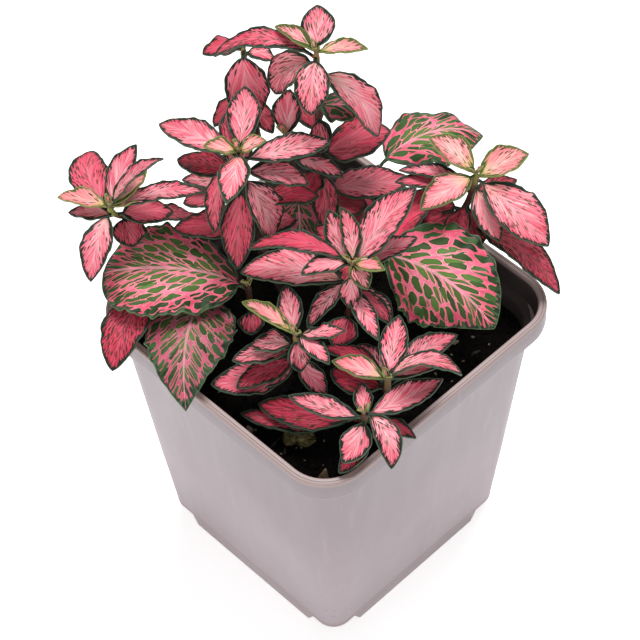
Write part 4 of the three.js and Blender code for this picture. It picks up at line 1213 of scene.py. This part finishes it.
def makeLeaf(blank, leaf, seed, materials):
    draw = np.random.default_rng(seed)
    size = foliage[sizeOf(leaf)]
    thing = copyOf(blank, "leaf")
    flat = readPlaces(thing)
    s, v = (flat[:, 0] + 1) / 2, flat[:, 1]
    share = foliage["stalkRows"]
    t = np.clip((s - share) / (1 - share), 0, 1)
    blade = 0.5 * t + 0.5 * (0.5 - 0.5 * np.cos(np.pi * t))
    u = np.where(s < share, leaf["stalk"] * s / share, leaf["stalk"] + (1 - leaf["stalk"]) * blade)
    v = np.sign(v) * (0.75 * np.abs(v) + 0.25 * np.sin(np.pi / 2 * np.abs(v)))
    _, shape, half = halfWidth(leaf, u, fine)
    y = half * v
    start, out = lateralVeins(leaf, u, y)

    turns = draw.uniform(0, 6.28, 6)
    edgeWave = wavesAlong(leaf, u, v, size["waveLength"], turns[[0, 1, 2]], 0.5, 4.3)
    notch = wavesAlong(leaf, u, v, foliage["notchLength"], turns[[5, 2, 1]], 0.6, 3.7)
    quilt = -np.cos(2 * np.pi * start / size["veinSpacing"]) * np.sqrt(np.abs(v)) * (1 - np.abs(v) ** 4)
    height = size["ruffle"] * edgeWave * np.abs(v) ** 3 * shape + size["quilt"] * quilt * shape
    height -= foliage["groove"] * np.exp(-(y / foliage["grooveWidth"]) ** 2) * shape
    sway = np.sin(5 * u + turns[3]) * np.sin(2.2 * v + turns[4])
    height += foliage["sway"] * leaf["width"] * shape * sway
    onStalk = np.clip(1 - u / leaf["stalk"], 0, 1)
    height += foliage["stalkRound"] * np.sqrt(np.maximum(0, 1 - v * v)) * onStalk
    wavy = v * (1 + foliage["notch"] * notch * shape * np.abs(v))
    settle(thing, bladePoint(leaf, u, wavy, fine["top"] + height, fine))

    spread = foliage["ageSpread"] if leaf["kind"] != "bud" else 0
    age = leaf["age"] + leaf["ripe"] + (draw.uniform(-spread, spread) if spread else 0)
    tone = draw.uniform(*foliage["tones"]) * leaf["tone"]
    writeTrait(thing, "leafPlace", outlineDistance(leaf, u, v, fine), u, np.abs(v))
    writeTrait(thing, "veinPlace", start, out, draw.uniform(0, 8))
    writeTrait(thing, "leafTraits", min(max(age, 0), 1), tone, leaf["cell"])
    body = thing.vertex_groups.new(name="thickness")
    thin = fine["thickness"]
    weight = np.interp(u, [0, leaf["stalk"], leaf["stalk"] + 0.12, 1], [1, 0.8, thin, thin * 0.8])
    weight += 0.12 * np.exp(-(y / 0.4) ** 2)
    for index, value in enumerate(weight):
        body.add([index], min(1.0, float(value)), "REPLACE")
    uvs = thing.data.uv_layers.active or thing.data.uv_layers.new(name="leafUv")
    corners = np.empty(len(thing.data.loops), dtype=np.int32)
    thing.data.loops.foreach_get("vertex_index", corners)
    uvs.data.foreach_set("uv", (np.stack([u * leaf["length"], y], 1)[corners] / 50).ravel())
    paint(thing, *materials)
    return thing


def makeStem(stem):
    thing = makeColumn(stalk["sides"], stalk["rows"])
    flat = readPlaces(thing)
    top = stem["tip"][2]
    bottom = soil["level"] - stalk["depth"]
    along = flat[:, 2] / stalk["rows"]
    heights = bottom + (top + stalk["overTip"] - bottom) * along
    joints = np.array([top - row[0] for row in stem["leaves"]])
    swell = np.exp(-((heights[:, None] - joints[None]) / stalk["jointHeight"]) ** 2).max(1)
    radius = (stalk["radius"] - stalk["taper"] * along) * (stalk["slim"] + stalk["joint"] * swell)
    radius *= np.where(along > 0.999, stalk["tipShare"], 1)
    middles = np.array([stemPoint(stem, z) for z in heights])
    settle(thing, middles + flat * np.array([1, 1, 0]) * radius[:, None])
    # fall below the tip, height over the soil, height of the tip over the soil
    writeTrait(thing, "stemPlace", top - heights, heights - soil["level"], top - soil["level"])
    paint(thing, stemSkin)
    return thing


def budLeaves(stem):
    x, y, z = stem["tip"]
    turn = stem["leaves"][0][1] + 45
    rows = [  # laid out as the rows of the table
        (0, turn, 52, 3.6, 2.0, 20, 0, 0, "bud"),
        (0, turn + 180, 58, 3.2, 1.8, 20, 0, 0, "bud"),
        (0, turn + 90, 74, 2.2, 1.2, 10, 0, 0, "bud"),
    ]
    return [readLeaf(row, (x, y, z + 0.2)) for row in rows]


def makeFoliage(stem, stemIndex, blanks):
    leaves = []
    for leafIndex, leaf in enumerate(stem["settled"] + (budLeaves(stem) if stem.get("bud", True) else [])):
        size = sizeOf(leaf)
        materials = (nettedLeaf if size == "big" else pinkLeaf, leafUnderside)
        leaves.append(makeLeaf(blanks[size], leaf, foliage["seed"] + 100 * stemIndex + leafIndex, materials))
    blades = joinAll(leaves, "blades")
    applyModifier(
        blades, "SOLIDIFY", thickness=0.001, offset=-1, vertex_group="thickness",
        thickness_vertex_group=0.0, material_offset=1, material_offset_rim=0, use_even_offset=False,
    )
    return finishPiece([blades, makeStem(stem)], stem["name"] + "_foliage", 50)


settleLeaves()
print("leaves settled")
leafBlanks = {size: makeBlank(size) for size in ("small", "big")}
for stemIndex, stem in enumerate(stems):
    dress(makeFoliage(stem, stemIndex, leafBlanks), "leafy_stem_" + stem["name"])
for blank in leafBlanks.values():
    bpy.data.objects.remove(blank)
print("foliage ready")
